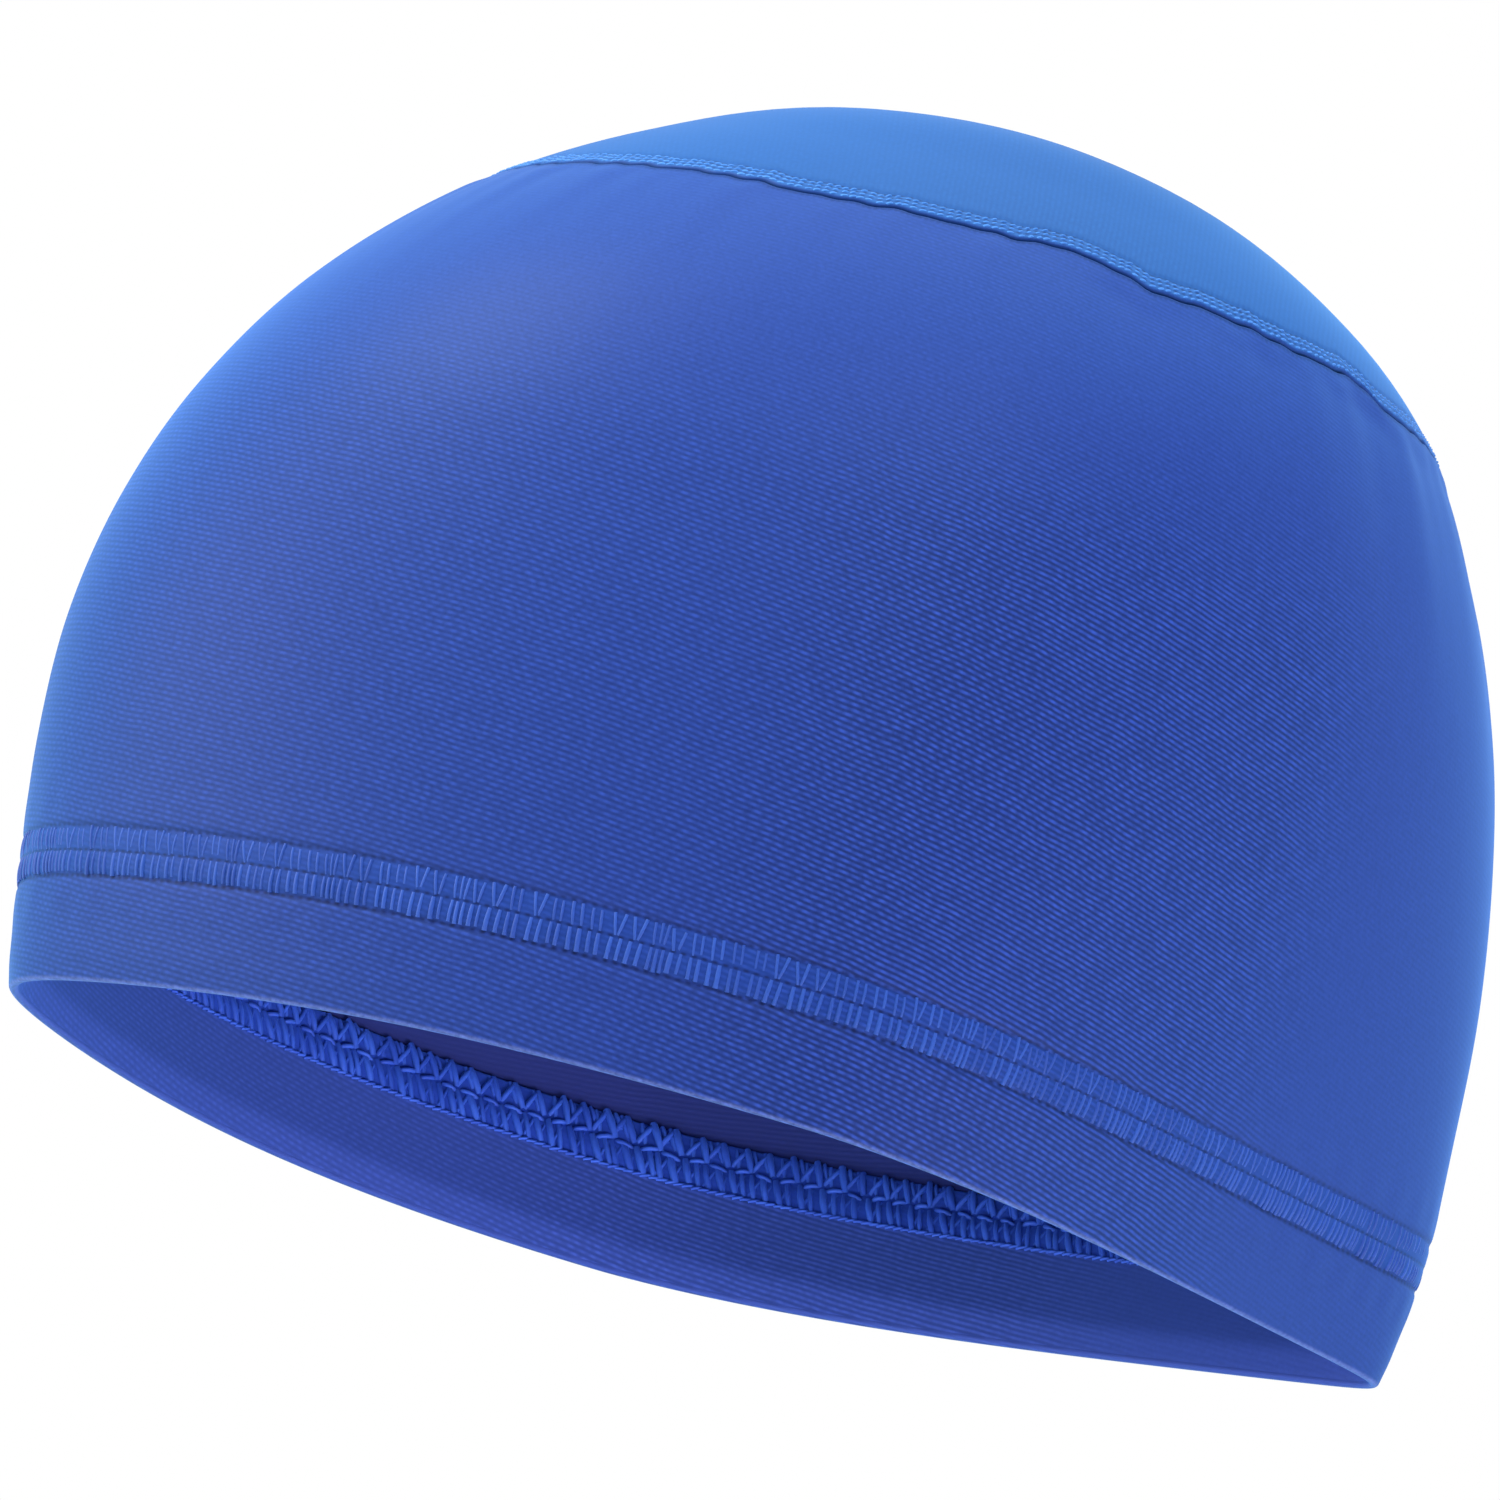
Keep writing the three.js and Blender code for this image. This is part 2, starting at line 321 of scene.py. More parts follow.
@dataclass
class ClothMesh:
    """Closed mesh of a cloth piece: rings of points up its outside and down its inside."""

    name: str
    rings: list[np.ndarray]
    marks: list[np.ndarray]
    apex: tuple[np.ndarray, np.ndarray] | None = None
    apex_after: int = -1

    def build(self, around: np.ndarray, material: bpy.types.Material,
              extra: dict[str, np.ndarray]) -> bpy.types.Object:
        """Makes the object with its cloth map and attributes.

        Args:
            around: Distance around the cap at each column and once more at the end of the turn.
            material: Finish of the piece.
            extra: Named values for every point of the rings, as arrays of rings by columns.

        Returns:
            The new object, at the origin.
        """
        count = len(self.rings[0])
        total = len(self.rings)
        points = np.concatenate(self.rings)
        column = np.arange(count)
        after = (column + 1) % count
        faces, corners = [], []
        for ring in range(total):
            upper = (ring + 1) % total
            if self.apex is not None and ring == self.apex_after:
                continue
            low, high = ring * count, upper * count
            quads = np.stack([low + column, low + after, high + after, high + column], axis=1)
            faces.extend(quads.tolist())
            v_low, v_high = self.marks[ring], self.marks[upper]
            left, right = around[:-1], around[1:]
            quad_map = np.stack(
                [np.stack([left, v_low[column]], 1), np.stack([right, v_low[after]], 1),
                 np.stack([right, v_high[after]], 1), np.stack([left, v_high[column]], 1)], axis=1)
            corners.append(quad_map.reshape(-1, 2))
        if self.apex is not None:
            tops = len(points)
            points = np.vstack([points, self.apex[0], self.apex[1]])
            low, high = self.apex_after * count, (self.apex_after + 1) * count
            faces.extend(np.stack([low + column, low + after, np.full(count, tops)], 1).tolist())
            faces.extend(np.stack([high + after, high + column, np.full(count, tops + 1)], 1).tolist())
            left, right = around[:-1], around[1:]
            for ring, order in ((self.apex_after, (0, 1)), (self.apex_after + 1, (1, 0))):
                sides = [np.stack([left, self.marks[ring][column]], 1),
                         np.stack([right, self.marks[ring][after]], 1)]
                middle = np.stack([(left + right) / 2, self.marks[ring][column]], 1)
                corners.append(np.stack([sides[order[0]], sides[order[1]], middle], axis=1).reshape(-1, 2))
        mesh = bpy.data.meshes.new(self.name)
        mesh.from_pydata(points.tolist(), [], faces)
        layer = mesh.uv_layers.new(name="cloth")
        layer.data.foreach_set("uv", np.concatenate(corners).astype(np.float32).ravel())
        for label, values in extra.items():
            attribute = mesh.attributes.new(label, "FLOAT", "POINT")
            flat = np.concatenate([values.ravel(), np.full(len(points) - values.size, values.max())])
            attribute.data.foreach_set("value", flat.astype(np.float32))
        mesh.polygons.foreach_set("use_smooth", [True] * len(mesh.polygons))
        mesh.materials.append(material)
        mesh.update()
        piece = bpy.data.objects.new(self.name, mesh)
        bpy.context.scene.collection.objects.link(piece)
        return piece


@dataclass(frozen=True)
class NeedleLine:
    """A line of needle holes along the hem, darkened with painted shade: its height above the rim, half width
    and darkness.
    """

    height: float
    half_width: float
    darkness: float


@dataclass(frozen=True)
class ThreadTintAndPaintedLightBand:
    """A band of the cloth map, in millimetres, and its colour: most bands take the tint of the sewing thread
    that covers them, two are painted light and shade.
    """

    low: float
    high: float
    share: float
    colour: str


@dataclass(frozen=True)
class KnitCloth:
    """Polyester and elastane warp knit with a satin face: fine ribs climb slowly as they run round the cap.

    The real courses may be finer than rib_pitch: they are drawn as coarse as they need to show. Lengths
    are in millimetres.
    """

    name: str
    shade: str
    yarn: str
    turn_length: float = 580.0
    rib_pitch: float = 0.78
    ribs_climbed: int = 88
    float_count: int = 310
    contrast: float = 1.0
    relief: float = 0.3
    roughness: float = 0.5
    flat_laid: bool = False
    needle_lines: tuple[NeedleLine, ...] = ()
    dot_pitch: float = 1.45
    scallop_pitch: float = 1.25
    bands: tuple[ThreadTintAndPaintedLightBand, ...] = ()
    fold_light: float = 0.0
    ditch: str = ""
    back: str = ""

    def build(self) -> bpy.types.Material:
        """Builds the material.

        Returns:
            The material, which reads the map named cloth, in metres.
        """
        material = bpy.data.materials.new(self.name)
        material.use_nodes = True
        tree = material.node_tree
        tree.nodes.clear()
        # Both maps in millimetres: the cloth map's x goes round the cap and its y up the cloth.
        cloth_map = add_node(tree, "ShaderNodeUVMap", uv_map="cloth").outputs[0]
        cloth = add_node(tree, "ShaderNodeVectorMath", {0: cloth_map, "Scale": 1000.0},
                         operation="SCALE").outputs[0]
        space = add_node(tree, "ShaderNodeTexCoord").outputs["Object"]
        space = add_node(tree, "ShaderNodeVectorMath", {0: space, "Scale": 1000.0},
                         operation="SCALE").outputs[0]
        grain = add_node(tree, "ShaderNodeTexNoise",
                         {"Vector": space, "Scale": 1.6, "Detail": 2.0}).outputs["Fac"]
        ribs = self.ribs(tree, space if self.flat_laid else cloth, space)
        # Two fifths of the face is lit yarn on average, so that the contrast leaves the mean colour alone.
        share = add_node(tree, "ShaderNodeMath", {0: ribs, 1: 0.4}, operation="SUBTRACT").outputs[0]
        share = add_node(tree, "ShaderNodeMath", {0: share, 1: self.openness(tree, space), 2: 0.4},
                         operation="MULTIPLY_ADD").outputs[0]
        mottle = add_node(tree, "ShaderNodeMath", {0: grain, 1: 0.5}, operation="SUBTRACT").outputs[0]
        share = add_node(tree, "ShaderNodeMath", {0: mottle, 1: 0.35 * self.contrast, 2: share},
                         operation="MULTIPLY_ADD", use_clamp=True).outputs[0]
        colour = add_node(tree, "ShaderNodeMix", {0: share, 6: linear(self.shade), 7: linear(self.yarn)},
                          data_type="RGBA").outputs[2]
        colour = self.sewn_lines(tree, colour, add_node(tree, "ShaderNodeSeparateXYZ", {0: cloth}), grain)
        if self.back:
            # The technical back of the knit is duller than its satin face and shows no ribs.
            inside = add_node(tree, "ShaderNodeAttribute", attribute_name="inner_face").outputs["Fac"]
            inside = add_node(tree, "ShaderNodeMath", {0: inside, 1: 0.85}, operation="MULTIPLY").outputs[0]
            colour = add_node(tree, "ShaderNodeMix", {0: inside, 6: colour, 7: linear(self.back)},
                              data_type="RGBA").outputs[2]
        bump = add_node(tree, "ShaderNodeBump",
                        {"Strength": self.relief, "Distance": 0.12 * MM, "Height": share})
        surface = add_node(tree, "ShaderNodeBsdfPrincipled",
                           {"Base Color": colour, "Roughness": self.roughness, "IOR": 1.5,
                            "Specular IOR Level": 0.04, "Sheen Weight": 0.3, "Sheen Roughness": 0.5,
                            "Sheen Tint": linear(SHEEN_SHADE), "Normal": bump.outputs[0]})
        add_node(tree, "ShaderNodeOutputMaterial", {"Surface": surface.outputs[0]})
        return material

    def openness(self, tree: bpy.types.NodeTree, space: bpy.types.NodeSocket) -> bpy.types.NodeSocket:
        """Contrast of the ribs: open where the cloth is stretched round the sides, closed behind and above.

        Args:
            tree: The material's tree.
            space: Object coordinates in millimetres.

        Returns:
            Share of the full contrast.
        """
        place = add_node(tree, "ShaderNodeSeparateXYZ", {0: space})
        front = add_node(tree, "ShaderNodeMapRange",
                         {"Value": place.outputs[1], "From Min": -32.0, "From Max": 4.0, "To Min": 0.58},
                         interpolation_type="SMOOTHSTEP").outputs[0]
        back = add_node(tree, "ShaderNodeMapRange",
                        {"Value": place.outputs[1], "From Min": 50.0, "From Max": 74.0, "To Min": 1.0,
                         "To Max": 0.12}, interpolation_type="SMOOTHSTEP").outputs[0]
        above = add_node(tree, "ShaderNodeMapRange",
                         {"Value": place.outputs[2], "From Min": 78.0, "From Max": 110.0, "To Min": 1.0,
                          "To Max": 0.22}, interpolation_type="SMOOTHSTEP").outputs[0]
        amount = add_node(tree, "ShaderNodeMath", {0: front, 1: back}, operation="MULTIPLY").outputs[0]
        amount = add_node(tree, "ShaderNodeMath", {0: amount, 1: above}, operation="MULTIPLY").outputs[0]
        return add_node(tree, "ShaderNodeMath", {0: amount, 1: self.contrast},
                        operation="MULTIPLY").outputs[0]

    def ribs(
        self, tree: bpy.types.NodeTree, grid: bpy.types.NodeSocket, space: bpy.types.NodeSocket
    ) -> bpy.types.NodeSocket:
        """Lays the yarn: fine climbing ribs, broken into short floats at the front and whole further back.

        Args:
            tree: The material's tree.
            grid: Map that the ribs follow, in millimetres.
            space: Object coordinates in millimetres, which have no join anywhere.

        Returns:
            Height of the yarn, from 0 to 1.
        """
        waver = add_node(tree, "ShaderNodeTexNoise", {"Vector": space, "Scale": 0.12, "Detail": 2.0})
        centred = add_node(tree, "ShaderNodeVectorMath", {0: waver.outputs["Color"], 1: (0.5, 0.5, 0.5)},
                           operation="SUBTRACT")
        moved = add_node(tree, "ShaderNodeVectorMath", {0: centred.outputs[0], 1: (2.0, 0.6, 0.0), 2: grid},
                         operation="MULTIPLY_ADD").outputs[0]
        place = add_node(tree, "ShaderNodeSeparateXYZ", {0: moved})
        # A whole number of ribs is climbed in one turn, so that the ribs meet where the map joins.
        climb = add_node(tree, "ShaderNodeMath",
                         {0: place.outputs[0], 1: self.ribs_climbed / self.turn_length},
                         operation="MULTIPLY").outputs[0]
        lean = add_node(tree, "ShaderNodeMath", {0: place.outputs[1], 1: 1 / self.rib_pitch, 2: climb},
                        operation="MULTIPLY_ADD").outputs[0]
        wave = add_node(tree, "ShaderNodeMath", {0: lean, 1: 2 * math.pi}, operation="MULTIPLY").outputs[0]
        wave = add_node(tree, "ShaderNodeMath", {0: wave}, operation="COSINE").outputs[0]
        ridge = add_node(tree, "ShaderNodeMapRange",
                         {"Value": wave, "From Min": 0.8, "From Max": -0.8}).outputs[0]
        rib = add_node(tree, "ShaderNodeMath", {0: lean}, operation="FLOOR").outputs[0]
        chance = add_node(tree, "ShaderNodeTexWhiteNoise", {"W": rib}, noise_dimensions="1D").outputs["Value"]
        stagger = add_node(tree, "ShaderNodeMath", {0: rib, 1: 0.5}, operation="MULTIPLY").outputs[0]
        stagger = add_node(tree, "ShaderNodeMath", {0: chance, 1: 0.35, 2: stagger},
                           operation="MULTIPLY_ADD").outputs[0]
        along = add_node(tree, "ShaderNodeMath",
                         {0: place.outputs[0], 1: self.float_count / self.turn_length, 2: stagger},
                         operation="MULTIPLY_ADD").outputs[0]
        along = add_node(tree, "ShaderNodeMath", {0: along, 1: 2 * math.pi}, operation="MULTIPLY").outputs[0]
        along = add_node(tree, "ShaderNodeMath", {0: along}, operation="SINE").outputs[0]
        along = add_node(tree, "ShaderNodeMapRange",
                         {"Value": along, "From Min": -1.0, "To Min": 0.42}).outputs[0]
        floats = add_node(tree, "ShaderNodeMath", {0: ridge, 1: along}, operation="MULTIPLY").outputs[0]
        patches = add_node(tree, "ShaderNodeTexNoise",
                           {"Vector": space, "Scale": 0.03, "Detail": 3.0}).outputs["Fac"]
        back = add_node(tree, "ShaderNodeSeparateXYZ", {0: space}).outputs[1]
        back = add_node(tree, "ShaderNodeMapRange", {"Value": back, "From Min": -20.0, "From Max": 60.0,
                                                     "To Min": -0.35, "To Max": 0.35}).outputs[0]
        whole = add_node(tree, "ShaderNodeMath", {0: patches, 1: back}, operation="ADD").outputs[0]
        whole = add_node(tree, "ShaderNodeMapRange", {"Value": whole, "From Min": 0.3, "From Max": 0.8,
                                                      "To Min": 0.0, "To Max": 0.7}).outputs[0]
        laid = add_node(tree, "ShaderNodeMix", {0: whole, 2: floats, 3: ridge}, data_type="FLOAT").outputs[0]
        uneven = add_node(tree, "ShaderNodeTexNoise",
                          {"Vector": space, "Scale": 0.55, "Detail": 1.0}).outputs["Fac"]
        uneven = add_node(tree, "ShaderNodeMapRange", {"Value": uneven, "From Min": 0.3, "From Max": 0.7,
                                                       "To Min": 0.6}).outputs[0]
        return add_node(tree, "ShaderNodeMath", {0: laid, 1: uneven}, operation="MULTIPLY").outputs[0]

    def sewn_lines(
        self, tree: bpy.types.NodeTree, colour: bpy.types.NodeSocket, place: bpy.types.Node,
        grain: bpy.types.NodeSocket
    ) -> bpy.types.NodeSocket:
        """Tints the bands, some with painted light and shade, paints shade into the needle lines and the seam's
        ditch, and paints a highlight along the rim's fold.

        Args:
            tree: The material's tree.
            colour: Colour so far.
            place: Node that separates the map in millimetres.
            grain: Fine noise that breaks the lines up.

        Returns:
            The changed colour.
        """
        dots = add_node(tree, "ShaderNodeMath", {0: place.outputs[0], 1: 2 * math.pi / self.dot_pitch},
                        operation="MULTIPLY")
        dots = add_node(tree, "ShaderNodeMath", {0: dots.outputs[0]}, operation="SINE")
        dots = add_node(tree, "ShaderNodeMapRange",
                        {"Value": dots.outputs[0], "From Min": -0.8, "From Max": 0.9,
                         "To Min": 0.35}).outputs[0]
        for band in self.bands:
            # Close threads tint the cloth that shows between them; the side panel's band round the inner turn
            # of its fold is painted light, and the crown's band along its rounded edge is painted shade.
            low, high = (add_node(tree, "ShaderNodeMapRange",
                                  {"Value": place.outputs[1], "From Min": edge - 0.3,
                                                               "From Max": edge + 0.3}).outputs[0]
                         for edge in (band.low, band.high))
            within = add_node(tree, "ShaderNodeMath", {0: low, 1: high}, operation="SUBTRACT").outputs[0]
            within = add_node(tree, "ShaderNodeMath", {0: within, 1: band.share},
                              operation="MULTIPLY").outputs[0]
            colour = add_node(tree, "ShaderNodeMix", {0: within, 6: colour, 7: linear(band.colour)},
                              data_type="RGBA").outputs[2]
        # Painted shade: each needle line darkens its holes and the gaps between threads, in dots along it.
        for line in self.needle_lines:
            away = add_node(tree, "ShaderNodeMath", {0: place.outputs[1], 1: line.height},
                            operation="SUBTRACT")
            away = add_node(tree, "ShaderNodeMath", {0: away.outputs[0]}, operation="ABSOLUTE").outputs[0]
            near = add_node(tree, "ShaderNodeMapRange",
                            {"Value": away, "From Max": line.half_width, "To Min": line.darkness,
                             "To Max": 0.0},
                            interpolation_type="SMOOTHSTEP").outputs[0]
            near = add_node(tree, "ShaderNodeMath", {0: near, 1: dots}, operation="MULTIPLY").outputs[0]
            colour = add_node(tree, "ShaderNodeMix", {0: near, 6: colour, 7: linear(PAINTED_NEEDLE_SHADOW)},
                              data_type="RGBA").outputs[2]
        if self.fold_light:
            # Painted highlight: the cloth is stretched over the fold, and a pale line along it stands in for
            # the light that the fold catches.
            away = add_node(tree, "ShaderNodeMath", {0: place.outputs[1], 1: 0.2}, operation="SUBTRACT")
            away = add_node(tree, "ShaderNodeMath", {0: away.outputs[0]}, operation="ABSOLUTE").outputs[0]
            near = add_node(tree, "ShaderNodeMapRange",
                            {"Value": away, "From Max": 0.6, "To Min": self.fold_light, "To Max": 0.0},
                            interpolation_type="SMOOTHSTEP").outputs[0]
            near = add_node(tree, "ShaderNodeMath", {0: near, 1: grain}, operation="MULTIPLY").outputs[0]
            colour = add_node(tree, "ShaderNodeMix", {0: near, 6: colour, 7: linear(PAINTED_FOLD_HIGHLIGHT)},
                              data_type="RGBA").outputs[2]
        if self.ditch:
            # Painted shade darkens the cloth in the seam's ditch, where the crown's edge shades it; each seam
            # stitch pulls the cloth in a little, which scallops this painted shade.
            pull = add_node(tree, "ShaderNodeMath", {0: place.outputs[0], 1: math.pi / self.scallop_pitch},
                            operation="MULTIPLY")
            pull = add_node(tree, "ShaderNodeMath", {0: pull.outputs[0]}, operation="SINE").outputs[0]
            pull = add_node(tree, "ShaderNodeMath", {0: pull}, operation="ABSOLUTE").outputs[0]
            below = add_node(tree, "ShaderNodeAttribute", attribute_name=self.ditch).outputs["Fac"]
            below = add_node(tree, "ShaderNodeMath", {0: pull, 1: -0.3 * MM, 2: below},
                             operation="MULTIPLY_ADD")
            near = add_node(tree, "ShaderNodeMapRange",
                            {"Value": below.outputs[0], "From Min": 0.8 * MM, "From Max": 1.45 * MM,
                             "To Min": 0.92,
                             "To Max": 0.0}, interpolation_type="SMOOTHSTEP").outputs[0]
            colour = add_node(tree, "ShaderNodeMix", {0: near, 6: colour, 7: linear(PAINTED_DITCH_SHADOW)},
                              data_type="RGBA").outputs[2]
        return colour


@dataclass(frozen=True)
class SewingThread:
    """Bulky polyester overlock thread: softly shining, with a fine ply along each stitch."""

    name: str
    shade: str
    light: str

    def build(self) -> bpy.types.Material:
        """Builds the material.

        Returns:
            The material, which reads object coordinates, in metres, and the attribute named tone.
        """
        material = bpy.data.materials.new(self.name)
        material.use_nodes = True
        tree = material.node_tree
        tree.nodes.clear()
        place = add_node(tree, "ShaderNodeTexCoord").outputs["Object"]
        # The ply shows as a fine mottle about 0.4 mm across.
        ply = add_node(tree, "ShaderNodeTexNoise",
                       {"Vector": place, "Scale": 2600.0, "Detail": 2.0}).outputs["Fac"]
        tone = add_node(tree, "ShaderNodeAttribute", attribute_name="tone").outputs["Fac"]
        tint = add_node(tree, "ShaderNodeMath", {0: ply, 1: tone}, operation="ADD").outputs[0]
        tint = add_node(tree, "ShaderNodeMapRange",
                        {"Value": tint, "From Min": -0.4, "From Max": 2.1}).outputs[0]
        colour = add_node(tree, "ShaderNodeMix", {0: tint, 6: linear(self.shade), 7: linear(self.light)},
                          data_type="RGBA").outputs[2]
        bump = add_node(tree, "ShaderNodeBump", {"Strength": 0.3, "Distance": 0.05 * MM, "Height": ply})
        surface = add_node(tree, "ShaderNodeBsdfPrincipled",
                           {"Base Color": colour, "Roughness": 0.45, "IOR": 1.5, "Specular IOR Level": 0.12,
                            "Sheen Weight": 0.15, "Sheen Roughness": 0.4, "Sheen Tint": linear(SHEEN_SHADE),
                            "Normal": bump.outputs[0]})
        add_node(tree, "ShaderNodeOutputMaterial", {"Surface": surface.outputs[0]})
        return material


@dataclass(frozen=True)
class Strand:
    """One laid thread of a stitch.

    Ends are shares of the stitch's width and height, from its middle; arch is a share of the lift, bow bends
    the thread sideways by a share of the width, and thickness multiplies the thread's radius.
    """

    start: tuple[float, float]
    end: tuple[float, float]
    arch: float = 1.0
    bow: float = 0.0
    thickness: float = 1.0
    start_dip: float = -0.6
    end_dip: float = -0.6


@dataclass(frozen=True)
class StitchRun:
    """A run of machine stitches, repeated along a closed path on the cloth by a Geometry Nodes tree."""

    name: str
    pitch: float
    width: float
    height: float
    thread_radius: float
    lift: float
    variants: tuple[tuple[Strand, ...], ...]
    wander: float = 0.08
    sway: float = 0.08
    seed: int = 3
    sides: int = 6
    segments: int = 5

    def tree(self) -> tuple[bpy.types.NodeTree, dict[str, str]]:
        """Builds the node tree.

        Returns:
            The tree and each input's identifier by its name.
        """
        tree = bpy.data.node_groups.new(self.name + "_tree", "GeometryNodeTree")
        tree.is_modifier = True
        face = tree.interface
        face.new_socket("Geometry", in_out="INPUT", socket_type="NodeSocketGeometry")
        face.new_socket("Geometry", in_out="OUTPUT", socket_type="NodeSocketGeometry")
        kinds = {"Pitch": "Float", "Stitch Width": "Float", "Stitch Height": "Float",
                 "Thread Radius": "Float",
                 "Lift": "Float", "Wander": "Float", "Sway": "Float", "Seed": "Int", "Thread": "Material"}
        names = {}
        for label, kind in kinds.items():
            names[label] = face.new_socket(label, in_out="INPUT", socket_type=f"NodeSocket{kind}").identifier
        given = tree.nodes.new("NodeGroupInput").outputs
        size = add_node(tree, "ShaderNodeCombineXYZ",
                        {"X": given["Stitch Width"], "Y": given["Stitch Height"],
                         "Z": given["Lift"]}).outputs[0]
        round_thread = add_node(tree, "GeometryNodeCurvePrimitiveCircle",
                                {"Resolution": self.sides, "Radius": given["Thread Radius"]}).outputs[0]
        motifs = add_node(tree, "GeometryNodeJoinGeometry").inputs[0]
        for strands in self.variants:
            threads = add_node(tree, "GeometryNodeJoinGeometry").inputs[0]
            for strand in strands:
                tree.links.new(self.laid_thread(tree, strand, size, round_thread), threads)
            held = add_node(tree, "GeometryNodeGeometryToInstance", {0: threads.node.outputs[0]})
            tree.links.new(held.outputs[0], motifs)
        path = add_node(tree, "GeometryNodeMeshToCurve", {0: given["Geometry"]}).outputs[0]
        path = add_node(tree, "GeometryNodeResampleCurve", {"Curve": path, "Length": given["Pitch"]},
                        mode="LENGTH")
        tangent = add_node(tree, "GeometryNodeInputTangent").outputs[0]
        outward = add_node(tree, "GeometryNodeInputNamedAttribute", {"Name": "outward"},
                           data_type="FLOAT_VECTOR")
        slip = add_node(tree, "FunctionNodeRandomValue", {2: -1.0, 3: 1.0, "Seed": given["Seed"]},
                        data_type="FLOAT")
        slip = add_node(tree, "ShaderNodeMath", {0: slip.outputs[1], 1: given["Wander"]},
                        operation="MULTIPLY")
        slip = add_node(tree, "ShaderNodeMath", {0: slip.outputs[0], 1: given["Pitch"]}, operation="MULTIPLY")
        offset = add_node(tree, "ShaderNodeVectorMath", {0: tangent, "Scale": slip.outputs[0]},
                          operation="SCALE")
        points = add_node(tree, "GeometryNodeSetPosition",
                          {"Geometry": path.outputs[0], "Offset": offset.outputs[0]})
        frame_turn = add_node(tree, "FunctionNodeAxesToRotation",
                              {"Primary Axis": outward.outputs[0], "Secondary Axis": tangent},
                              primary_axis="Z", secondary_axis="X").outputs[0]
        next_seed = add_node(tree, "ShaderNodeMath", {0: given["Seed"], 1: 7.0}, operation="ADD").outputs[0]
        lean = add_node(tree, "FunctionNodeRandomValue", {2: -1.0, 3: 1.0, "Seed": next_seed},
                        data_type="FLOAT")
        lean = add_node(tree, "ShaderNodeMath", {0: lean.outputs[1], 1: given["Sway"]}, operation="MULTIPLY")
        lean = add_node(tree, "ShaderNodeCombineXYZ", {"Z": lean.outputs[0]}).outputs[0]
        lean = add_node(tree, "FunctionNodeEulerToRotation", {0: lean}).outputs[0]
        turn = add_node(tree, "FunctionNodeRotateRotation", {0: frame_turn, 1: lean}, rotation_space="LOCAL")
        third_seed = add_node(tree, "ShaderNodeMath", {0: given["Seed"], 1: 13.0}, operation="ADD").outputs[0]
        grow = add_node(tree, "FunctionNodeRandomValue",
                        {0: (0.88, 0.93, 0.8), 1: (1.1, 1.07, 1.2), "Seed": third_seed},
                        data_type="FLOAT_VECTOR")
        pick = add_node(tree, "FunctionNodeRandomValue",
                        {4: 0, 5: len(self.variants) - 1, "Seed": given["Seed"]}, data_type="INT").outputs[2]
        placed = add_node(tree, "GeometryNodeInstanceOnPoints",
                          {"Points": points.outputs[0], "Instance": motifs.node.outputs[0],
                           "Pick Instance": True,
                           "Instance Index": pick, "Rotation": turn.outputs[0], "Scale": grow.outputs[0]})
        tone = add_node(tree, "FunctionNodeRandomValue", {2: 0.0, 3: 1.0, "Seed": third_seed},
                        data_type="FLOAT")
        toned = add_node(tree, "GeometryNodeStoreNamedAttribute",
                         {"Geometry": placed.outputs[0], "Name": "tone", "Value": tone.outputs[1]},
                         domain="INSTANCE", data_type="FLOAT")
        solid = add_node(tree, "GeometryNodeRealizeInstances", {0: toned.outputs[0]}).outputs[0]
        solid = add_node(tree, "GeometryNodeSetShadeSmooth", {0: solid}).outputs[0]
        solid = add_node(tree, "GeometryNodeSetMaterial", {0: solid, "Material": given["Thread"]}).outputs[0]
        add_node(tree, "NodeGroupOutput", {0: solid})
        return tree, names

    def laid_thread(
        self, tree: bpy.types.NodeTree, strand: Strand, size: bpy.types.NodeSocket,
        profile: bpy.types.NodeSocket
    ) -> bpy.types.NodeSocket:
        """Adds the nodes of one strand.

        Args:
            tree: The run's tree.
            strand: Shape of the strand.
            size: Stitch width, height and lift as one vector.
            profile: Round section of the thread.

        Returns:
            The strand's mesh.
        """
        middle = ((strand.start[0] + strand.end[0]) / 2 + strand.bow,
                  (strand.start[1] + strand.end[1]) / 2, 2 * strand.arch)
        curve = add_node(tree, "GeometryNodeCurveQuadraticBezier",
                         {"Resolution": self.segments, "Start": (*strand.start, strand.start_dip),
                          "Middle": middle,
                          "End": (*strand.end, strand.end_dip)}).outputs[0]
        curve = add_node(tree, "GeometryNodeTransform", {"Geometry": curve, "Scale": size}).outputs[0]
        return add_node(tree, "GeometryNodeCurveToMesh",
                        {"Curve": curve, "Profile Curve": profile, "Scale": strand.thickness,
                         "Fill Caps": True}).outputs[0]

